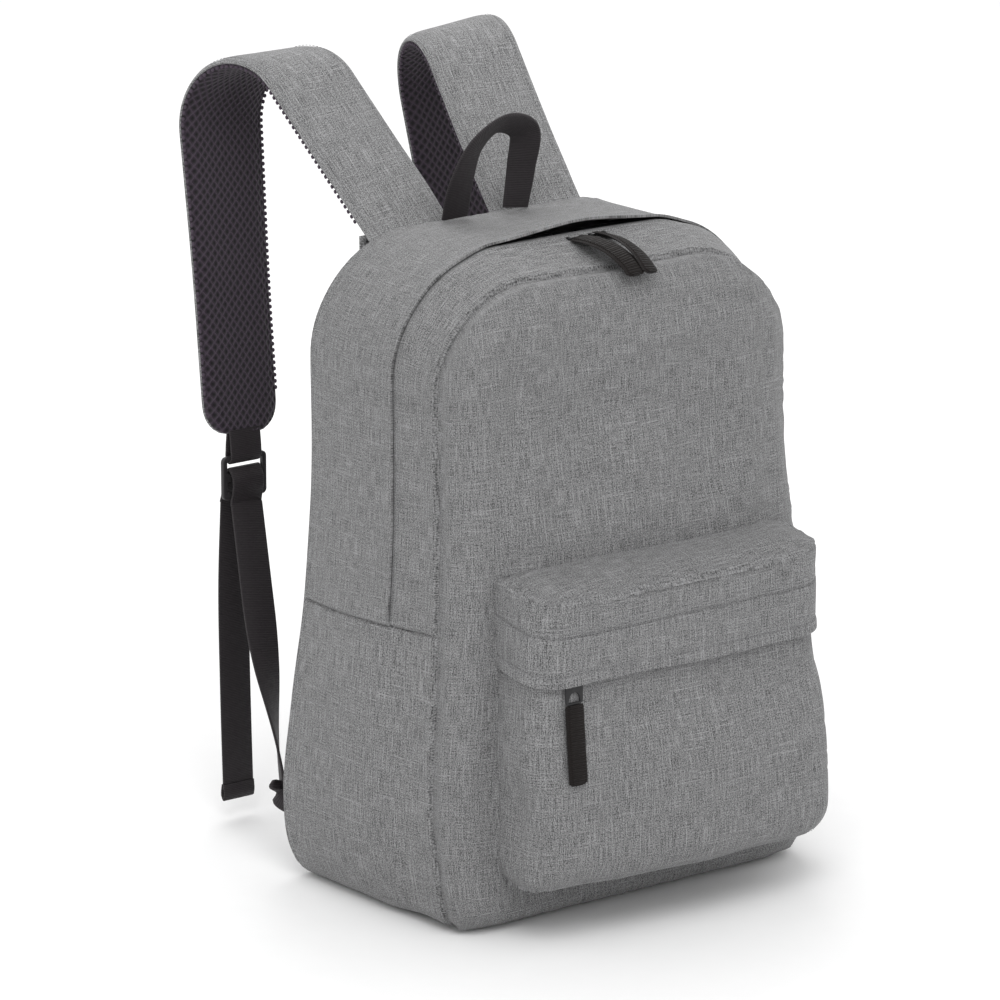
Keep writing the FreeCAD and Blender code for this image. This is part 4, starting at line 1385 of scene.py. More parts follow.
@dataclass
class MainZip:
    """The zip over the top, under the rain flap, with its two sliders and pulls."""

    form: BagForm
    finishes: Finishes
    repeat: LineRepeat
    inset: float = 0.0065
    line: float = -0.017
    gap: float = 0.0010
    tape: float = 0.014

    def build(self) -> None:
        """Makes and dresses the zip."""
        self.tapes()
        for name in SIDES:
            self.slider(name)
            self.pull(name)

    def seat_row(self, s: np.ndarray, y: np.ndarray, inset: float) -> np.ndarray:
        """Points of the zip: straight where the sliders travel, on the softened bag elsewhere."""
        x, z, nx, nz = self.form.outline.at(s)
        flat = np.stack([x - nx * inset, y, z - nz * inset], axis=-1)
        away = smooth((np.abs(x) - 0.066) / 0.02)[..., None]
        return flat * (1 - away) + self.form.soften(flat) * away

    def tapes(self) -> None:
        """Both tapes, their coils and the bottom stops."""
        form = self.form
        reach = form.outline.down_to(form.side_seam) - 0.002
        s = np.linspace(-reach, reach, 210)
        for name, side in (("front", -1), ("rear", 1)):
            y = self.line + side * np.linspace(self.gap, self.gap + self.tape, 5)
            ss, yy = np.meshgrid(s, y, indexing="ij")
            points = self.seat_row(ss, yy, self.inset)
            piece = cloth_shell(f"zip_tape_cloth_{name}", points, np.stack([yy, ss], axis=-1), 0.0007, (0, 0, 0.2))
            seat(piece, self.finishes.tape, Slot.WEBBING, PACK, f"zip_tape_{name}")
            at = np.full_like(s, self.line + side * (self.gap + 0.0006))
            row = self.seat_row(s, at, self.inset - 0.0004)
            piece = self.repeat.lay(
                f"zip_coil_{name}", [row], 0.0016, (0.0017, 0.0026, 0.0012), (0, 1, 0), self.finishes.coil
            )
            seat(piece, self.finishes.coil, Slot.COIL, PACK, f"zip_teeth_{name}")
        low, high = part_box("zip_bottom_stops")
        pieces = []
        for side in SIDES.values():
            x = side * (high.x - 0.0020)
            pieces.append(
                plate(
                    "zip_bottom_stop",
                    [rounded_rectangle((low.y, low.z), (high.y, high.z), 0.0012)],
                    0.0030,
                    0.0006,
                    ((0, 1, 0), (0, 0, 1), (1, 0, 0)),
                    (x, 0, 0),
                )
            )
        stop = joined("zip_bottom_stop_pair", pieces)
        seat(stop, self.finishes.tape, Slot.WEBBING, PACK, "zip_bottom_stops")

    def slider(self, name: str) -> None:
        """A slider of two plates and a neck, and the wide bail that carries the pull."""
        low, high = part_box(f"main_slider_{name}")
        x, y = (low.x + high.x) / 2, (low.y + high.y) / 2
        half_x, half_y = (high.x - low.x) / 2, (high.y - low.y) / 2
        axes = ((1, 0, 0), (0, 1, 0), (0, 0, 1))
        body = [
            plate("plate", [rounded_rectangle((-half_x, -half_y), (half_x, half_y), 0.003)], 0.0015, 0.0005, axes, (x, y, z))
            for z in (high.z - 0.00075, low.z + 0.00075)
        ]
        neck = rounded_rectangle((-0.003, -0.0004), (0.003, 0.0004), 0.00035)
        body.append(plate("neck", [neck], high.z - low.z - 0.001, 0.0001, axes, (x, y, (high.z + low.z) / 2)))
        piece = joined(f"main_slider_body_{name}", body)
        seat(piece, self.finishes.metal, Slot.METAL, f"main_slider_{name}", f"main_slider_{name}")
        low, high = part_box(f"main_bail_{name}")
        half = (high.x - low.x) / 2
        outer = rounded_rectangle((-half, low.y - y), (half, high.y - y), 0.0022)
        window = [(-a, b) for a, b in d_window(half - 0.0028, 0, 0.0048)]
        window = [(a, low.y - y + 0.0018 + b) for a, b in window]
        piece = plate(f"main_bail_plate_{name}", [outer, window], high.z - low.z, 0.0004, axes, (x, y, (low.z + high.z) / 2))
        seat(piece, self.finishes.metal, Slot.METAL, f"main_slider_{name}", f"main_bail_{name}")

    def pull(self, name: str) -> None:
        """A doubled webbing pull that lies forward and droops over the front's edge."""
        low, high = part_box(f"main_pull_{name}")
        x = (low.x + high.x) / 2
        skew = 0.004 if name == "left" else -0.002
        path = curve_points(
            (
                (x, high.y - 0.0002, high.z - 0.0008),
                (x, -0.050, high.z + 0.0002),
                (x + skew * 0.4, -0.065, high.z - 0.0012),
                (x + skew * 0.7, -0.078, high.z - 0.0052),
                (x + skew, -0.0872, high.z - 0.0105),
                (x + skew, low.y + 0.0095, high.z - 0.0150),
            ),
            64,
        )
        piece = ribbed_pull(f"main_pull_tape_{name}", path, np.array([1.0, 0.0, 0.10 if name == "left" else -0.35]))
        seat(piece, self.finishes.pull, Slot.WEBBING, f"main_pull_{name}", f"main_pull_{name}")


def joined(name: str, pieces: Sequence[bpy.types.Object]) -> bpy.types.Object:
    """Joins pieces of one body into one object."""
    verts, faces, uvs, start = [], [], [], 0
    for piece in pieces:
        mesh = piece.data
        co = np.zeros(len(mesh.vertices) * 3)
        mesh.vertices.foreach_get("co", co)
        co = co.reshape(-1, 3)
        verts.append(co)
        faces += [[start + i for i in polygon.vertices] for polygon in mesh.polygons]
        uvs.append(co[:, :2])
        start += len(co)
        bpy.data.objects.remove(piece)
        bpy.data.meshes.remove(mesh)
    return make_object(name, np.concatenate(verts), faces, np.concatenate(uvs))


def ribbed_pull(name: str, path: np.ndarray, width_way: np.ndarray) -> bpy.types.Object:
    """A pull of doubled tape: thin plain edges, a raised ribbed middle and a clipped end.

    Args:
        name: The object's name.
        path: Points of its middle line, from the bail to the free end.
        width_way: The direction of its width.

    Returns:
        The closed piece.
    """
    path = curve_points(path, 260)
    along = tangents(path)
    across = square_to(along, width_way)
    up = np.cross(across, along)
    length = np.linspace(0, 1, len(path))
    run = np.concatenate([[0], np.cumsum(np.linalg.norm(np.diff(path, axis=0), axis=1))])
    rib = 0.00016 * np.sin(run * math.tau / 0.0020)
    half = 0.0075 - 0.0022 * smooth((length - 0.965) / 0.035) - 0.0006 * smooth((0.03 - length) / 0.03)
    rings = []
    for wide, bump in zip(half, rib):
        inner, edge, thin, thick = wide - 0.0026, wide, 0.0004, 0.0012 + bump
        top = [(-edge, 0.0), (-edge + 0.0004, thin), (-inner - 0.0002, thin), (-inner + 0.0003, thick)]
        top += [(0.0, thick), (inner - 0.0003, thick), (inner + 0.0002, thin), (edge - 0.0004, thin), (edge, 0.0)]
        rings.append(top + [(a, -b) for a, b in top[-2:0:-1]])
    return sweep(name, path, across, up, np.array(rings)[:, ::-1])


# front pocket -------------------------------------------------------------------------------------


@dataclass
class Pocket:
    """The front pocket: lower wrap, band and hood, roof, rain flap, zip, slider and pull."""

    finishes: Finishes
    repeat: LineRepeat
    crease: Crease = Crease()
    ridge: Crease = Crease(0.0028, 0.0012, 0.0011)
    radius: float = 0.020
    rear: float = -0.094
    base_round: float = 0.019
    line_gap: float = 0.0065
    hem: float = 0.0075
    slider_shift: float = 0.0035
    half: float = field(init=False)
    face: float = field(init=False)

    def __post_init__(self) -> None:
        """Takes the main sizes from the frame."""
        low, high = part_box("pocket_front")
        self.half, self.face, self.foot, self.mouth = high.x, low.y, low.z - CLOTH, high.z + 0.002
        hood_low, hood_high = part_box("pocket_flap_fold")
        self.stand, self.fold, self.top = self.face - hood_low.y, hood_low.z, hood_high.z
        self.flap_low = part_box("pocket_flap")[0].z
        self.roof_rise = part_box("pocket_top_panel")[1].z - self.top
        self.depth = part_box("pocket_front")[1].y - self.face
        self.unevenness = (Ripple(41, (0.05, 0.04, 0.045), 0.0018), Ripple(42, (0.02, 0.02, 0.03), 0.0009))
        low_z, full = self.foot, self.mouth
        at = (low_z, low_z + 0.025, low_z + 0.062, low_z + 0.100, full - 0.024, full, self.top)
        self.forward = Ease(at, (0.013, 0.015, 0.0125, 0.0055, 0.0, 0.0, 0.0))
        self.spread = Ease(at, (0.006, 0.0065, 0.0065, 0.006, 0.004, 0.002, 0.0))

    @property
    def reach(self) -> float:
        """Distance along the plan from the middle of the front to the rear edge."""
        return self.half - self.radius + self.radius * math.pi / 2 + self.rear - self.face - self.radius

    def plan(self, s: np.ndarray, stand: float = 0.0) -> np.ndarray:
        """Places round the pocket seen from above.

        Args:
            s: Distances from the middle of the front, positive to the right.
            stand: Distance outside the plan.

        Returns:
            x, y and the outward direction's x and y, as the last axis.
        """
        side, d = np.where(s < 0, -1.0, 1.0), np.abs(s)
        flat = self.half - self.radius
        arc = np.clip((d - flat) / self.radius, 0, math.pi / 2)
        x = np.minimum(d, flat) + self.radius * np.sin(arc)
        y = self.face + self.radius * (1 - np.cos(arc)) + np.maximum(d - flat - self.radius * math.pi / 2, 0)
        nx, ny = side * np.sin(arc), -np.cos(arc)
        return np.stack([side * x + nx * stand, y + ny * stand, nx, ny], axis=-1)

    def seam_z(self, y: np.ndarray) -> np.ndarray:
        """Height of the roof's seam at a depth."""
        return self.top + 0.0005 + self.roof_rise * np.clip((y - self.face) / self.depth, 0, 1.1)

    def bulge(self, x: np.ndarray, z: np.ndarray) -> np.ndarray:
        """How far the filled pocket swells outwards."""
        across = np.clip(1 - (x / (self.half * 0.92)) ** 2, 0, 1) ** 1.3
        up = Ease((self.foot, 0.07, 0.11, self.mouth, self.fold, self.top + 0.01), (0.002, 0.0045, 0.0045, 0.0015, 0.0012, 0.0))
        return across * up(z)

    def wall(self, s: np.ndarray, z: np.ndarray, stand: np.ndarray) -> np.ndarray:
        """Points on the pocket's wall."""
        at = self.plan(s)
        flat = np.stack([at[..., 0], at[..., 1], z + 0 * s], axis=-1)
        wave = sum(ripple(flat) for ripple in self.unevenness) * smooth((np.abs(self.reach - np.abs(s))) / 0.02)
        wave = wave * np.maximum(smooth((np.abs(np.abs(s) - 0.088) - 0.008) / 0.02), smooth((self.mouth - 0.05 - z) / 0.03))
        out = stand + self.bulge(at[..., 0], z) + wave
        x, y = at[..., 0] + at[..., 2] * out, at[..., 1] + at[..., 3] * out
        fill = smooth((self.rear - 0.002 - y) / 0.034) * (0.35 + 0.65 * smooth((x + 0.085) / 0.10))
        x = x + self.spread(z) * (x / self.half) * np.where(x > 0, 1.25, 0.8)
        return np.stack([x, y - self.forward(z) * fill, z + 0 * s], axis=-1)

    def build(self) -> None:
        """Makes and dresses the pocket."""
        self.lower()
        self.hood()
        self.roof()
        self.flap()
        self.zip()
        self.slider()

    def round_steps(self) -> np.ndarray:
        """Places round the plan, close together at its corners."""
        return spaced(-self.reach, self.reach, 0.0034, (0.001, 0.003))

    def lower(self) -> None:
        """The wrap below the zip and the bottom under it."""
        s = self.round_steps()
        arc = np.linspace(0, math.pi / 2, 9)
        z = np.concatenate([self.foot + 0.0004 + self.base_round * (1 - np.cos(arc)), spaced(self.foot + self.base_round + 0.003, self.mouth, 0.0034, (0.001, 0.002))])
        ss, zz = np.meshgrid(s, z, indexing="ij")
        low = np.clip((self.foot + self.base_round - zz) / self.base_round, 0, 1)
        wobble = 0.0012 * np.sin(ss * 95.0) * low
        draw = -self.base_round * 0.82 * (1 - np.sqrt(np.clip(1 - low**2, 0, 1)))
        edge = self.crease(zz - self.foot - 0.0045) * 0.8
        front = np.abs(ss) < self.half
        stand = draw * np.where(front, 1.0, 0.55) + edge + wobble
        points = self.wall(ss, zz, stand)
        rise = self.base_round * (1 - np.cos(np.arcsin(low)))
        uv = np.stack([ss, zz - rise * 0.5], axis=-1)
        held = np.maximum(smooth(np.abs(ss) / self.reach * 6 - 5), np.maximum(smooth((0.085 - zz) / 0.025), smooth((zz - self.mouth + 0.03) / 0.02)))
        held = np.maximum(held, smooth(1 - np.abs(ss + 0.088) / 0.03))
        points = Stuffing(pressure=0.5, slack=0.006, cap=0.004).settle("pocket cloth", points, held)
        piece = cloth_shell("pocket_front_cloth", points, uv, CLOTH, (0, -0.11, 0.12))
        seat(piece, self.finishes.cloth, Slot.CLOTH, PACK, "pocket_front")
        self.base(points[:, 0])
        rows = [self.wall(s, np.full_like(s, self.foot + 0.0045), np.full_like(s, 0.0))]
        low = (self.base_round - 0.0045) / self.base_round
        draw = -self.base_round * 0.82 * (1 - math.sqrt(1 - low**2))
        scale = np.where(np.abs(s) < self.half, 1.0, 0.55) * draw + 0.0012 * np.sin(s * 95.0) * low
        rows = [self.wall(s, np.full_like(s, self.foot + 0.0045), scale + 0.0002)]
        piece = self.repeat.stitch("pocket_base_stitching", rows, self.finishes.thread)
        seat(piece, self.finishes.thread, Slot.CLOTH, PACK)

    def base(self, rim: np.ndarray) -> None:
        """The pocket's bottom, sewn to the wrap's lower edge."""
        rear = rim.copy()
        rear[:, 1] = self.rear
        share = np.linspace(0, 1, 9)[:, None, None]
        inner = rim * (1, 1, 1)
        grid = inner[None] * (1 - share) + rear[None] * share
        grid[..., 2] = rim[None, :, 2] + 0.0004
        grid[..., 1] += 0.001 * (1 - share[..., 0])
        piece = cloth_shell("pocket_base_cloth", grid, grid[..., :2], CLOTH, (0, -0.11, 0.12))
        seat(piece, self.finishes.cloth, Slot.CLOTH, PACK, "pocket_gusset_bottom")

    def hood(self) -> None:
        """The upper band behind the zip and the sewn top part of the rain flap in front of it."""
        s = self.round_steps()
        low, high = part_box("pocket_upper_band")
        z = spaced(low.z, high.z - 0.004, 0.005)
        ss, zz = np.meshgrid(s, z, indexing="ij")
        points = self.wall(ss, zz, -0.0006 + 0 * ss)
        piece = cloth_shell("pocket_band_cloth", points, np.stack([ss, zz], axis=-1), CLOTH, (0, -0.11, 0.2))
        seat(piece, self.finishes.cloth, Slot.CLOTH, PACK, "pocket_upper_band")
        share = spaced(0, 1, 0.13, (0.03, 0.06, 0.10))
        ss, tt = np.meshgrid(s, share, indexing="ij")
        ridge = self.seam_z(self.plan(ss)[..., 1])
        fold = ridge - (self.top - self.fold)
        zz = fold + (ridge - fold) * tt
        groove = self.ridge((1 - tt) * 0.026, ss) + self.fold_groove(zz - fold)
        points = self.wall(ss, zz, self.stand + groove)
        piece = cloth_shell("pocket_hood_cloth", points, np.stack([ss, zz], axis=-1), CLOTH, (0, -0.11, 0.2))
        seat(piece, self.finishes.cloth, Slot.CLOTH, PACK, "pocket_flap_fold")
        rows = []
        for drop in (0.0012, 0.0012 + self.line_gap):
            ridge = self.seam_z(self.plan(s)[..., 1])
            z = ridge - (self.top - self.fold) + drop
            rows.append(self.wall(s, z, np.full_like(s, self.stand - 0.0001)))
        piece = self.repeat.stitch("pocket_flap_stitching", rows, self.finishes.thread)
        seat(piece, self.finishes.thread, Slot.CLOTH, PACK)

    def fold_groove(self, above: np.ndarray) -> np.ndarray:
        """The two sewn lines that hold the flap's fold."""
        shape = Crease(0.0008, 0.0012)
        return shape(above - 0.0012) + shape(above - 0.0012 - self.line_gap)

    def roof(self) -> None:
        """The sloping top panel from the front panel to the hood's seam."""
        outer = self.radius + self.stand
        arc = np.linspace(0, math.pi / 2, 12)
        start = self.face - self.stand
        y = np.concatenate([start + outer * (1 - np.cos(arc)), spaced(start + outer + 0.003, self.rear, 0.0035, (0.001, 0.003))])
        share = spaced(-1, 1, 0.032, (0.004, 0.010, 0.02, 0.036))
        tt, yy = np.meshgrid(share, y, indexing="ij")
        inner = np.clip(start + outer - yy, 0, outer)
        wide = self.half - self.radius + np.sqrt(np.clip(outer**2 - inner**2, 0, None))
        xx = wide * tt
        yy = yy - self.bulge(xx, np.full_like(xx, self.top)) * smooth((self.face + 0.02 - yy) / 0.02)
        edge = np.minimum(self.half + self.stand - np.abs(xx), yy - start)
        crown = 0.0036 * smooth(edge / 0.022) + self.ridge(edge, xx + yy)
        dip = -0.002 * smooth((yy - self.rear + 0.012) / 0.008)
        points = np.stack([xx, yy, self.seam_z(yy) + crown + dip + self.unevenness[0](np.stack([xx, yy, yy], axis=-1)) * 0.6 * smooth(edge / 0.01)], axis=-1)
        piece = cloth_shell("pocket_roof_cloth", points, np.stack([yy, xx], axis=-1), CLOTH, (0, -0.11, 0.15))
        seat(piece, self.finishes.cloth, Slot.CLOTH, PACK, "pocket_top_panel")

    def flap(self) -> None:
        """The rain flap over the zip, one half for each side."""
        steps = self.round_steps()
        for name, side in SIDES.items():
            s = np.concatenate([[0.0], np.abs(steps[steps > 1e-6])]) * side
            drop = np.concatenate([spaced(0, self.fold - self.flap_low - 0.009, 0.004), self.fold - self.flap_low - np.array([0.0076, 0.0068, 0.005, 0.0025, 0.0008, 0.0])])
            ss, dd = np.meshgrid(s, drop, indexing="ij")
            fold = self.seam_z(self.plan(ss)[..., 1]) - (self.top - self.fold)
            zz = fold - dd * (1 + 0.04 * np.sin(ss * 31.0)) + 0.0003
            from_hem = self.fold - self.flap_low - dd
            hem = 0.0006 * smooth((self.hem - from_hem) / 0.0015) - 0.0006 * np.exp(-(((from_hem - self.hem) / 0.001) ** 2))
            lap = smooth(dd / 0.03)
            stand = self.stand + 0.0002 - 0.0022 * lap * smooth((np.abs(ss) - 0.1) / 0.02) + hem + self.fold_groove(-dd - 0.0001)
            points = self.wall(ss, zz, stand)
            piece = cloth_shell(f"pocket_flap_cloth_{name}", points, np.stack([ss, zz], axis=-1), CLOTH, (0, -0.11, 0.18))
            nodes = [f"pocket_flap_corner_{name}"] + (["pocket_flap"] if side == LEFT else [])
            y, z = self.face - self.stand, self.fold
            bend = ("pocket_flap", (side * 0.105, y, z), (side * 0.055, y, z))
            seat(piece, self.finishes.cloth, Slot.CLOTH, PACK, *nodes, bend=bend)
            line = np.linspace(0, self.reach - 0.004, 120) * side
            fold = self.seam_z(self.plan(line)[..., 1]) - (self.top - self.fold)
            deep = (self.fold - self.flap_low - self.hem) * (1 + 0.04 * np.sin(line * 31.0))
            stand = self.stand - 0.0022 * smooth(deep / 0.03) * smooth((np.abs(line) - 0.1) / 0.02)
            row = self.wall(line, fold - deep, stand)
            piece = self.repeat.stitch(f"pocket_hem_stitching_{name}", [row], self.finishes.thread)
            seat(piece, self.finishes.thread, Slot.CLOTH, PACK, bend=bend)

    def straight(self, s: np.ndarray, z: np.ndarray, stand: float) -> np.ndarray:
        """Points on the plan with no swell, where the slider travels."""
        at = self.plan(s, stand)
        return np.stack([at[..., 0], at[..., 1], z], axis=-1)

    def zip(self) -> None:
        """The zip's tapes and coils across the front."""
        for name in ("lower", "upper"):
            low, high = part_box(f"pocket_zip_tape_{name}")
            s = np.linspace(low.x, high.x, 90)
            z = np.linspace(low.z, high.z, 4)
            ss, zz = np.meshgrid(s, z, indexing="ij")
            points = self.straight(ss, zz, self.face - low.y)
            piece = cloth_shell(f"pocket_tape_cloth_{name}", points, np.stack([zz, ss], axis=-1), 0.0007, (0, -0.11, 0.17))
            seat(piece, self.finishes.tape, Slot.WEBBING, PACK, f"pocket_zip_tape_{name}")
            low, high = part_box(f"pocket_zip_teeth_{name}")
            row = self.straight(s, np.full_like(s, (low.z + high.z) / 2), self.face - (low.y + high.y) / 2)
            piece = self.repeat.lay(f"pocket_coil_{name}", [row], 0.0016, (0.0022, 0.0018, 0.0012), (0, 0, 1), self.finishes.coil)
            seat(piece, self.finishes.coil, Slot.COIL, PACK, f"pocket_zip_teeth_{name}")

    def slider(self) -> None:
        """The slider, its hanging bail and the ribbed webbing pull."""
        axes = ((1, 0, 0), (0, 0, 1), (0, -1, 0))
        low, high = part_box("pocket_slider_body")
        x, z = (low.x + high.x) / 2, (low.z + high.z) / 2
        x -= self.slider_shift
        outer = rounded_rectangle((-(high.x - low.x) / 2, low.z - z), ((high.x - low.x) / 2, high.z - z), 0.003)
        body = [
            plate("plate", [outer], 0.0015, 0.0005, axes, (x, y, z))
            for y in (low.y + 0.00075, high.y - 0.00075)
        ]
        neck = rounded_rectangle((-0.003, -0.0006), (0.003, 0.0006), 0.0004)
        body.append(plate("neck", [neck], high.y - low.y - 0.001, 0.0001, axes, (x, (low.y + high.y) / 2, z)))
        piece = joined("pocket_slider_metal", body)
        seat(piece, self.finishes.metal, Slot.METAL, "pocket_slider", "pocket_slider_body")
        low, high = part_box("pocket_bail")
        half = (high.x - low.x) / 2
        outer = rounded_rectangle((-half, low.z - z), (half, high.z - z), 0.003)
        window = [(a, low.z - z + 0.0018 + b) for a, b in d_window(half - 0.0025, 0, 0.0066)]
        piece = plate("pocket_bail_plate", [outer, window], high.y - low.y, 0.0004, axes, (x, (low.y + high.y) / 2 - 0.0006, z))
        seat(piece, self.finishes.metal, Slot.METAL, "pocket_slider", "pocket_bail")
        low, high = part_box("pocket_pull")
        y = (low.y + high.y) / 2
        z = np.linspace(high.z + 0.0002, low.z, 9)
        face = self.wall(np.full(9, x), z, np.zeros(9))[:, 1] - 0.0024
        line = np.stack([np.full(9, x), np.minimum(face, y), z], axis=-1)
        line[:2, 1] = y - 0.0008, min(line[1, 1], y - 0.0010)
        piece = ribbed_pull("pocket_pull_tape", curve_points(line, 40), np.array([1.0, 0.0, 0.0]))
        seat(piece, self.finishes.pull, Slot.WEBBING, "pocket_pull", "pocket_pull")


# straps -------------------------------------------------------------------------------------------


def rounded_path(start: np.ndarray, corner: np.ndarray, end: np.ndarray, radius: float, count: int) -> np.ndarray:
    """Two straight runs joined by an arc.

    Args:
        start: First point.
        corner: Where the runs would meet.
        end: Last point.
        radius: The arc's radius.
        count: How many points to return.

    Returns:
        Points evenly spread along the path.
    """
    back, on = start - corner, end - corner
    lengths = np.linalg.norm(back), np.linalg.norm(on)
    back, on = back / lengths[0], on / lengths[1]
    half = math.acos(float(np.clip(back @ on, -1, 1))) / 2
    run = radius / math.tan(half)
    middle = (back + on) / np.linalg.norm(back + on) * (radius / math.sin(half))
    centre = corner + middle
    first, last = corner + back * run - centre, corner + on * run - centre
    sweep_angle = math.pi - 2 * half
    share = np.linspace(0, 1, 60)[:, None]
    arc = centre + (np.sin((1 - share) * sweep_angle) * first + np.sin(share * sweep_angle) * last) / math.sin(sweep_angle)
    line = np.concatenate([[start], arc, [end]])
    length = np.concatenate([[0], np.cumsum(np.linalg.norm(np.diff(line, axis=0), axis=1))])
    even = np.linspace(0, length[-1], count)
    return np.stack([np.interp(even, length, line[:, axis]) for axis in range(line.shape[1])], axis=-1)


@dataclass
class ShoulderStrap:
    """One padded strap: cloth outside, mesh inside, and its webbing, lock and tail."""

    name: str
    finishes: Finishes
    repeat: LineRepeat
    half: float = 0.034
    puff: float = 0.0043
    crest: float = 0.044
    lower_round: float = 0.026
    webbing: float = 0.025
    thick: float = 0.0016

    def __post_init__(self) -> None:
        """Works out the strap's line."""
        self.side = SIDES[self.name]
        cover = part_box(f"strap_cover_{self.name}")
        tab_low, tab_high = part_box(f"lock_tab_{self.name}")
        self.end_x = (tab_low.x + tab_high.x) / 2
        self.root_x = self.end_x - self.side * 0.051
        self.body = f"strap_{self.name}"
        root, corner, end = np.array([0.072, 0.434]), np.array([0.2630, 0.6105]), np.array([0.191, cover[0].z + 0.001])
        inward = (root - corner) / np.linalg.norm(root - corner)
        path = rounded_path(root + inward * 0.006, corner, end, self.crest, 170)
        x = self.root_x + self.side * (0.2534 * (path[:, 0] - 0.072) - 0.1295 * (path[:, 1] - 0.434))
        if self.side == RIGHT:
            x = x + 0.0075 * np.sin(np.linspace(0, math.pi, len(x))) ** 2 - 0.002
        self.path = np.stack([x, path[:, 0], path[:, 1]], axis=-1)
        self.along = tangents(self.path)
        turn = 0.16 if self.side == RIGHT else 0.02
        wish = np.array([math.cos(turn), -math.sin(turn) * 0.6, math.sin(turn) * 0.8])
        self.across = square_to(self.along, wish)
        self.up = np.cross(self.across, self.along)
        if self.up[40, 2] < 0:
            self.up = -self.up
        self.run = np.concatenate([[0], np.cumsum(np.linalg.norm(np.diff(self.path, axis=0), axis=1))])

    @property
    def bend(self) -> tuple:
        """The strap's body and two points near its root, passed to seat() as its bend."""
        return (self.body, (self.root_x, 0.074, 0.434), (self.root_x, 0.094, 0.434))

    def build(self) -> None:
        """Makes and dresses the strap."""
        self.pad()
        self.stitches()
        self.lock()
        self.webbing_pieces()

    def width(self) -> np.ndarray:
        """Half the width at each point of the line."""
        late = np.clip((self.run - self.run[-1] + self.lower_round) / self.lower_round, 0, 0.995)
        taper = 1 - 0.13 * smooth((self.run / self.run[-1] - 0.35) / 0.5)
        return (1 - late**2.6) ** (1 / 2.6) * taper

    def pad(self) -> None:
        """The cloth cover, the foam and the mesh lining."""
        wide = self.width()
        root = 0.45 + 0.55 * smooth(self.run / 0.03)
        soft = np.minimum(1.0, 0.55 + wide)
        t = np.concatenate([[-1, -0.985, -0.95], np.linspace(-0.9, 0.9, 25), [0.95, 0.985, 1]])
        profile = np.sqrt(np.clip(1 - np.abs(t) ** 6, 0, 1))
        wave = Ripple(51 + self.side, (0.03, 0.03, 0.03), 0.0009)
        for kind, sign, half, base in (("cover", 1, self.half, 0.0005), ("mesh", -1, self.half - 0.0009, 0.0003)):
            rings = []
            for i, (w, r, k) in enumerate(zip(wide, root, soft)):
                crown = self.puff * r * k * profile + 0.0004
                crown = crown * (1 - 0.16 * np.exp(-(((np.abs(t) - 0.86) / 0.05) ** 2)))
                outer = np.stack([t * half * w, sign * crown], axis=-1)
                inner = np.stack([t[::-1] * (half - 0.0008) * w, np.full_like(t, -sign * base)], axis=-1)
                rings.append(np.concatenate([outer, inner[1:-1]]))
            rings = np.array(rings)
            place = self.path[:, None] + rings[..., :1] * self.across[:, None] + rings[..., 1:] * self.up[:, None]
            share = smooth(np.abs(rings[..., 1]) / 0.003)
            rings[..., 1] += sign * wave(place) * share
            piece = sweep(f"strap_{kind}_cloth_{self.name}", self.path, self.across, self.up, rings)
            finish = self.finishes.strap_cloth if kind == "cover" else self.finishes.mesh
            slot = Slot.CLOTH if kind == "cover" else Slot.MESH
            seat(piece, finish, slot, PACK, f"strap_{kind}_{self.name}", bend=self.bend)
        run = np.linspace(0.02, self.run[-1] - 0.030, 150)
        lines = [self.at(run, np.full_like(run, share), -0.0022) for share in (-0.965, 0.965)]
        loops = self.repeat.lay(f"strap_mesh_loops_{self.name}", lines, 0.0042, (0.0022, 0.0029, 0.0030), (0, 1, 0), self.finishes.mesh)
        seat(loops, self.finishes.mesh, Slot.MESH, PACK, bend=self.bend)
        inner = band_section(2 * (self.half - 0.004), 0.0006)
        rings = np.stack([inner * (w, 1.0) for w in wide])
        piece = sweep(f"strap_foam_core_{self.name}", self.path, self.across, self.up, rings)
        seat(piece, self.finishes.foam, Slot.FOAM, PACK, f"strap_foam_{self.name}", bend=self.bend)

    def at(self, run: np.ndarray, share: np.ndarray, lift: float) -> np.ndarray:
        """Points on the strap's face at a distance along it and a share of its half-width."""
        wide = np.interp(run, self.run, self.width())
        spot = np.stack([np.interp(run, self.run, self.path[:, axis]) for axis in range(3)], axis=-1)
        across = np.stack([np.interp(run, self.run, self.across[:, axis]) for axis in range(3)], axis=-1)
        up = np.stack([np.interp(run, self.run, self.up[:, axis]) for axis in range(3)], axis=-1)
        return spot + across * (share * wide * self.half)[:, None] + up * lift

    def stitches(self) -> None:
        """The rows of stitches inside the cover's edge and the sewn tab near its end."""
        run = np.linspace(0.012, self.run[-1] - 0.004, 180)
        lift = self.puff * 0.84 + 0.0002
        lines = [self.at(run, np.full_like(run, share), lift) for share in (-0.86, 0.86)]
        end = self.run[-1]
        box = [(end - 0.052, -0.3), (end - 0.052, 0.3), (end - 0.012, 0.3), (end - 0.012, -0.3), (end - 0.052, -0.3)]
        for (a, p), (b, q) in zip(box, box[1:]):
            lines.append(self.at(np.linspace(a, b, 12), np.linspace(p, q, 12), self.puff + 0.0006))
        piece = self.repeat.stitch(f"strap_stitching_{self.name}", lines, self.finishes.thread)
        seat(piece, self.finishes.thread, Slot.CLOTH, PACK, bend=self.bend)

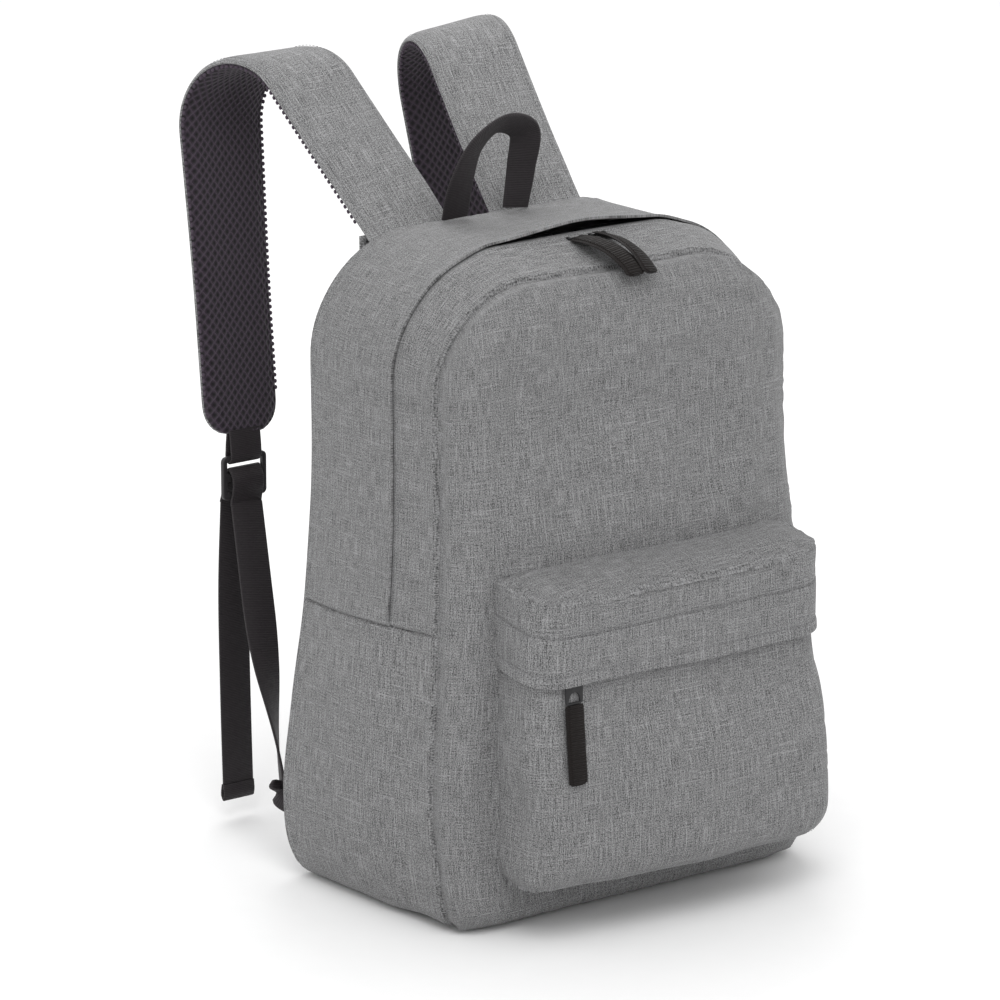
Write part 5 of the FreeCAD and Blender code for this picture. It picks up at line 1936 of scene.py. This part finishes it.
    def lock(self) -> None:
        """The ladder lock and the webbing tab that holds it."""
        low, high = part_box(f"ladder_lock_{self.name}")
        x, half, wall = (low.x + high.x) / 2, (high.x - low.x) / 2, 0.004
        outer = rounded_rectangle((-half, low.z), (half, high.z), 0.0035)
        slots = [
            rounded_rectangle((-half + wall, a), (half - wall, b), 0.0012)
            for a, b in ((low.z + 0.005, low.z + 0.0126), (low.z + 0.0177, high.z - 0.0032))
        ]
        axes = ((1, 0, 0), (0, 0, 1), (0, -1, 0))
        piece = plate(f"ladder_lock_{self.name}_frame", [outer, *slots], high.y - low.y, 0.0009, axes, (x, (low.y + high.y) / 2, 0))
        lock = f"lock_{self.name}"
        seat(piece, self.finishes.plastic, Slot.PLASTIC, lock, f"ladder_lock_{self.name}")
        y, z = (low.y + high.y) / 2, high.z - 0.0016
        path = curve_points(
            [(x, y - 0.0014, z + 0.020), (x, y - 0.0030, z + 0.006), (x, y - 0.0030, z), (x, y, z - 0.0032), (x, y + 0.0030, z), (x, y + 0.0030, z + 0.006), (x, y + 0.0014, z + 0.020)],
            60,
        )
        along = tangents(path)
        across = np.broadcast_to([1.0, 0.0, 0.0], path.shape)
        piece = sweep(f"lock_tab_webbing_{self.name}", path, across, np.cross(across, along), band_section(self.webbing, self.thick))
        seat(piece, self.finishes.webbing, Slot.WEBBING, self.body, f"lock_tab_{self.name}")

    def webbing_pieces(self) -> None:
        """The webbing through the lock, its run to the bag and its hanging tail with a folded hem."""
        lock = f"lock_{self.name}"
        x = self.end_x
        low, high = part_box(f"ladder_lock_{self.name}")
        y, bar = (low.y + high.y) / 2, low.z + 0.0151
        flat = np.array([1.0, 0.0, 0.0])
        tail_y = (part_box(f"strap_tail_{self.name}")[0].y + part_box(f"strap_tail_{self.name}")[1].y) / 2
        turn = curve_points(
            [(x, y - 0.0024, bar - 0.019), (x, y - 0.0045, bar + 0.001), (x, y - 0.0002, bar + 0.0063), (x, y + 0.0045, bar + 0.001), (x, y + 0.007, bar - 0.009), (x, tail_y - 0.0005, bar - 0.019)],
            90,
        )
        across = np.broadcast_to(flat, turn.shape)
        piece = sweep(f"webbing_loop_{self.name}", turn, across, np.cross(across, tangents(turn)), band_section(self.webbing + 0.0003, self.thick + 0.0002))
        seat(piece, self.finishes.webbing, Slot.WEBBING, lock, f"webbing_turn_{self.name}")
        bend = (self.body, (x, y, bar - 0.0095), (x, y, bar - 0.040))

        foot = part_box(f"strap_run_{self.name}")[0]
        start, end = turn[3], np.array([self.side * 0.152, foot.y + 0.001, foot.z + 0.0005])
        middle = start * 0.5 + end * 0.5 + np.array([0.0, 0.0015, -0.002])
        run = curve_points([start, middle, end], 120)
        along = tangents(run)
        share = np.linspace(0, 1, len(run))
        lean = math.radians(70) * smooth((share - 0.35) / 0.65)
        first = square_to(along, flat)
        second = np.cross(along, first)
        across = first * np.cos(lean)[:, None] + second * np.sin(lean)[:, None] * self.side
        section = band_section(self.webbing, self.thick)
        narrow = 1 - 0.42 * smooth((share - 0.55) / 0.45)
        rings = np.stack([section * (k, 1.0 + 0.4 * (1 - k)) for k in narrow])
        piece = sweep(f"strap_run_webbing_{self.name}", run, across, np.cross(across, along), rings)
        seat(piece, self.finishes.webbing, Slot.WEBBING, lock, f"strap_run_{self.name}", bend=bend)

        hem_low, hem_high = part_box(f"tail_hem_{self.name}")
        sway = self.side * 0.001
        tail = curve_points(
            [turn[-4], (x + sway, tail_y + 0.0012, 0.17), (x + sway, tail_y + 0.0006, 0.09), (x, tail_y, hem_high.z - 0.003)],
            120,
        )
        across = square_to(tangents(tail), flat)
        piece = sweep(f"strap_tail_webbing_{self.name}", tail, across, np.cross(across, tangents(tail)), section)
        seat(piece, self.finishes.webbing, Slot.WEBBING, lock, f"strap_tail_{self.name}", bend=bend)
        hem = curve_points([(x, tail_y - 0.0007, hem_high.z), (x, tail_y - 0.0009, hem_low.z + 0.003), (x, tail_y, hem_low.z + 0.0010), (x, tail_y + 0.0016, hem_low.z + 0.003), (x, tail_y + 0.0013, hem_high.z)], 50)
        across = np.broadcast_to(flat, hem.shape)
        piece = sweep(f"tail_fold_{self.name}", hem, across, np.cross(across, tangents(hem)), band_section(self.webbing + 0.0004, 0.0015))
        seat(piece, self.finishes.webbing, Slot.WEBBING, self.body, f"tail_hem_{self.name}")


@dataclass
class HaulLoop:
    """The carrying loop of ribbed webbing on the back's top edge."""

    finishes: Finishes
    width: float = 0.021
    thick: float = 0.0024

    def build(self) -> None:
        """Makes and dresses the loop."""
        low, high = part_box("haul_loop")
        x, y, foot, top = (low.x + high.x) / 2 - 0.009, (low.y + high.y) / 2, low.z, high.z
        path = curve_points(
            [
                (x - 0.0255, y + 0.002, foot - 0.004), (x - 0.026, y - 0.006, foot + 0.021),
                (x - 0.018, y - 0.012, top - 0.018), (x + 0.002, y - 0.012, top - 0.006),
                (x + 0.026, y - 0.006, top - 0.015), (x + 0.028, y, foot + 0.024), (x + 0.0245, y + 0.002, foot - 0.004),
            ],
            150,
        )
        wish = curve_points(
            [(1, 0, 0), (1, 0.1, -0.25), (0.62, 0.4, -0.6), (0, 0.7, -0.7), (-0.62, 0.45, -0.55), (-1, 0.1, -0.2), (-1, 0, 0)], 150
        )
        along = tangents(path)
        across = square_to(along, wish)
        section = band_section(self.width, self.thick)
        piece = sweep("haul_loop_webbing", path, across, np.cross(across, along), section)
        bend = ("haul_loop", (x, y, foot - 0.003), (x, y, foot + 0.012))
        seat(piece, self.finishes.webbing, Slot.WEBBING, PACK, "haul_loop", bend=bend)


# studio -------------------------------------------------------------------------------------------


@dataclass
class Studio:
    """A plain pale floor, soft light and the camera."""

    finishes: Finishes
    azimuth: float = -36.83
    elevation: float = 15.86
    distance: float = 4.311
    lens: float = 235.08
    target: tuple[float, float, float] = (-0.040, 0.0, 0.2578)

    def build(self) -> None:
        """Sets the whole studio."""
        self.floor()
        self.lights()
        self.camera()

    def floor(self) -> None:
        """The floor under the daypack."""
        size = 40.0
        mesh = bpy.data.meshes.new("floor")
        mesh.from_pydata([(-size, -size, -0.0005), (size, -size, -0.0005), (size, size, -0.0005), (-size, size, -0.0005)], [], [(0, 1, 2, 3)])
        floor = bpy.data.objects.new("floor", mesh)
        bpy.context.scene.collection.objects.link(floor)
        dress(floor, self.finishes.floor)

    def lights(self) -> None:
        """Even white light all round and one large soft light from above."""
        world = bpy.data.worlds.new("studio")
        world.use_nodes = True
        back = world.node_tree.nodes["Background"]
        back.inputs["Color"].default_value = (1, 1, 1, 1)
        back.inputs["Strength"].default_value = 1.0
        scene = bpy.context.scene
        scene.world = world
        scene.view_settings.view_transform = "Standard"
        for name, place, size, power in (
            ("key light", (-1.05, -1.6, 2.7), 1.8, 31.0),
            ("back light", (0.8, 1.6, 2.4), 1.8, 22.0),
        ):
            light = bpy.data.lights.new(name, "AREA")
            light.size, light.energy = size, power
            lamp = bpy.data.objects.new(name, light)
            lamp.location = place
            lamp.rotation_euler = (Vector((0, 0, 0.2)) - Vector(place)).to_track_quat("-Z", "Y").to_euler()
            scene.collection.objects.link(lamp)

    def camera(self) -> None:
        """The long-lens camera to the front left."""
        turn, tip = math.radians(self.azimuth), math.radians(self.elevation)
        away = Vector((math.sin(turn) * math.cos(tip), -math.cos(turn) * math.cos(tip), math.sin(tip)))
        lens = bpy.data.cameras.new("camera")
        lens.lens, lens.sensor_width = self.lens, 36.0
        lens.clip_end = 100.0
        camera = bpy.data.objects.new("camera", lens)
        camera.location = Vector(self.target) + away * self.distance
        camera.rotation_euler = (math.pi / 2 - tip, 0.0, turn)
        bpy.context.scene.collection.objects.link(camera)
        bpy.context.scene.camera = camera


def main() -> None:
    """Builds the daypack over the frame."""
    logging.basicConfig(level=logging.INFO, format="%(name)s: %(message)s")
    finishes = Finishes()
    repeat = LineRepeat()
    form = BagForm()
    MainBag(form, finishes, repeat).build()
    MainZip(form, finishes, repeat).build()
    Pocket(finishes, repeat).build()
    for name in SIDES:
        ShoulderStrap(name, finishes, repeat).build()
    HaulLoop(finishes).build()
    Studio(finishes).build()


if __name__ == "__main__":
    main()
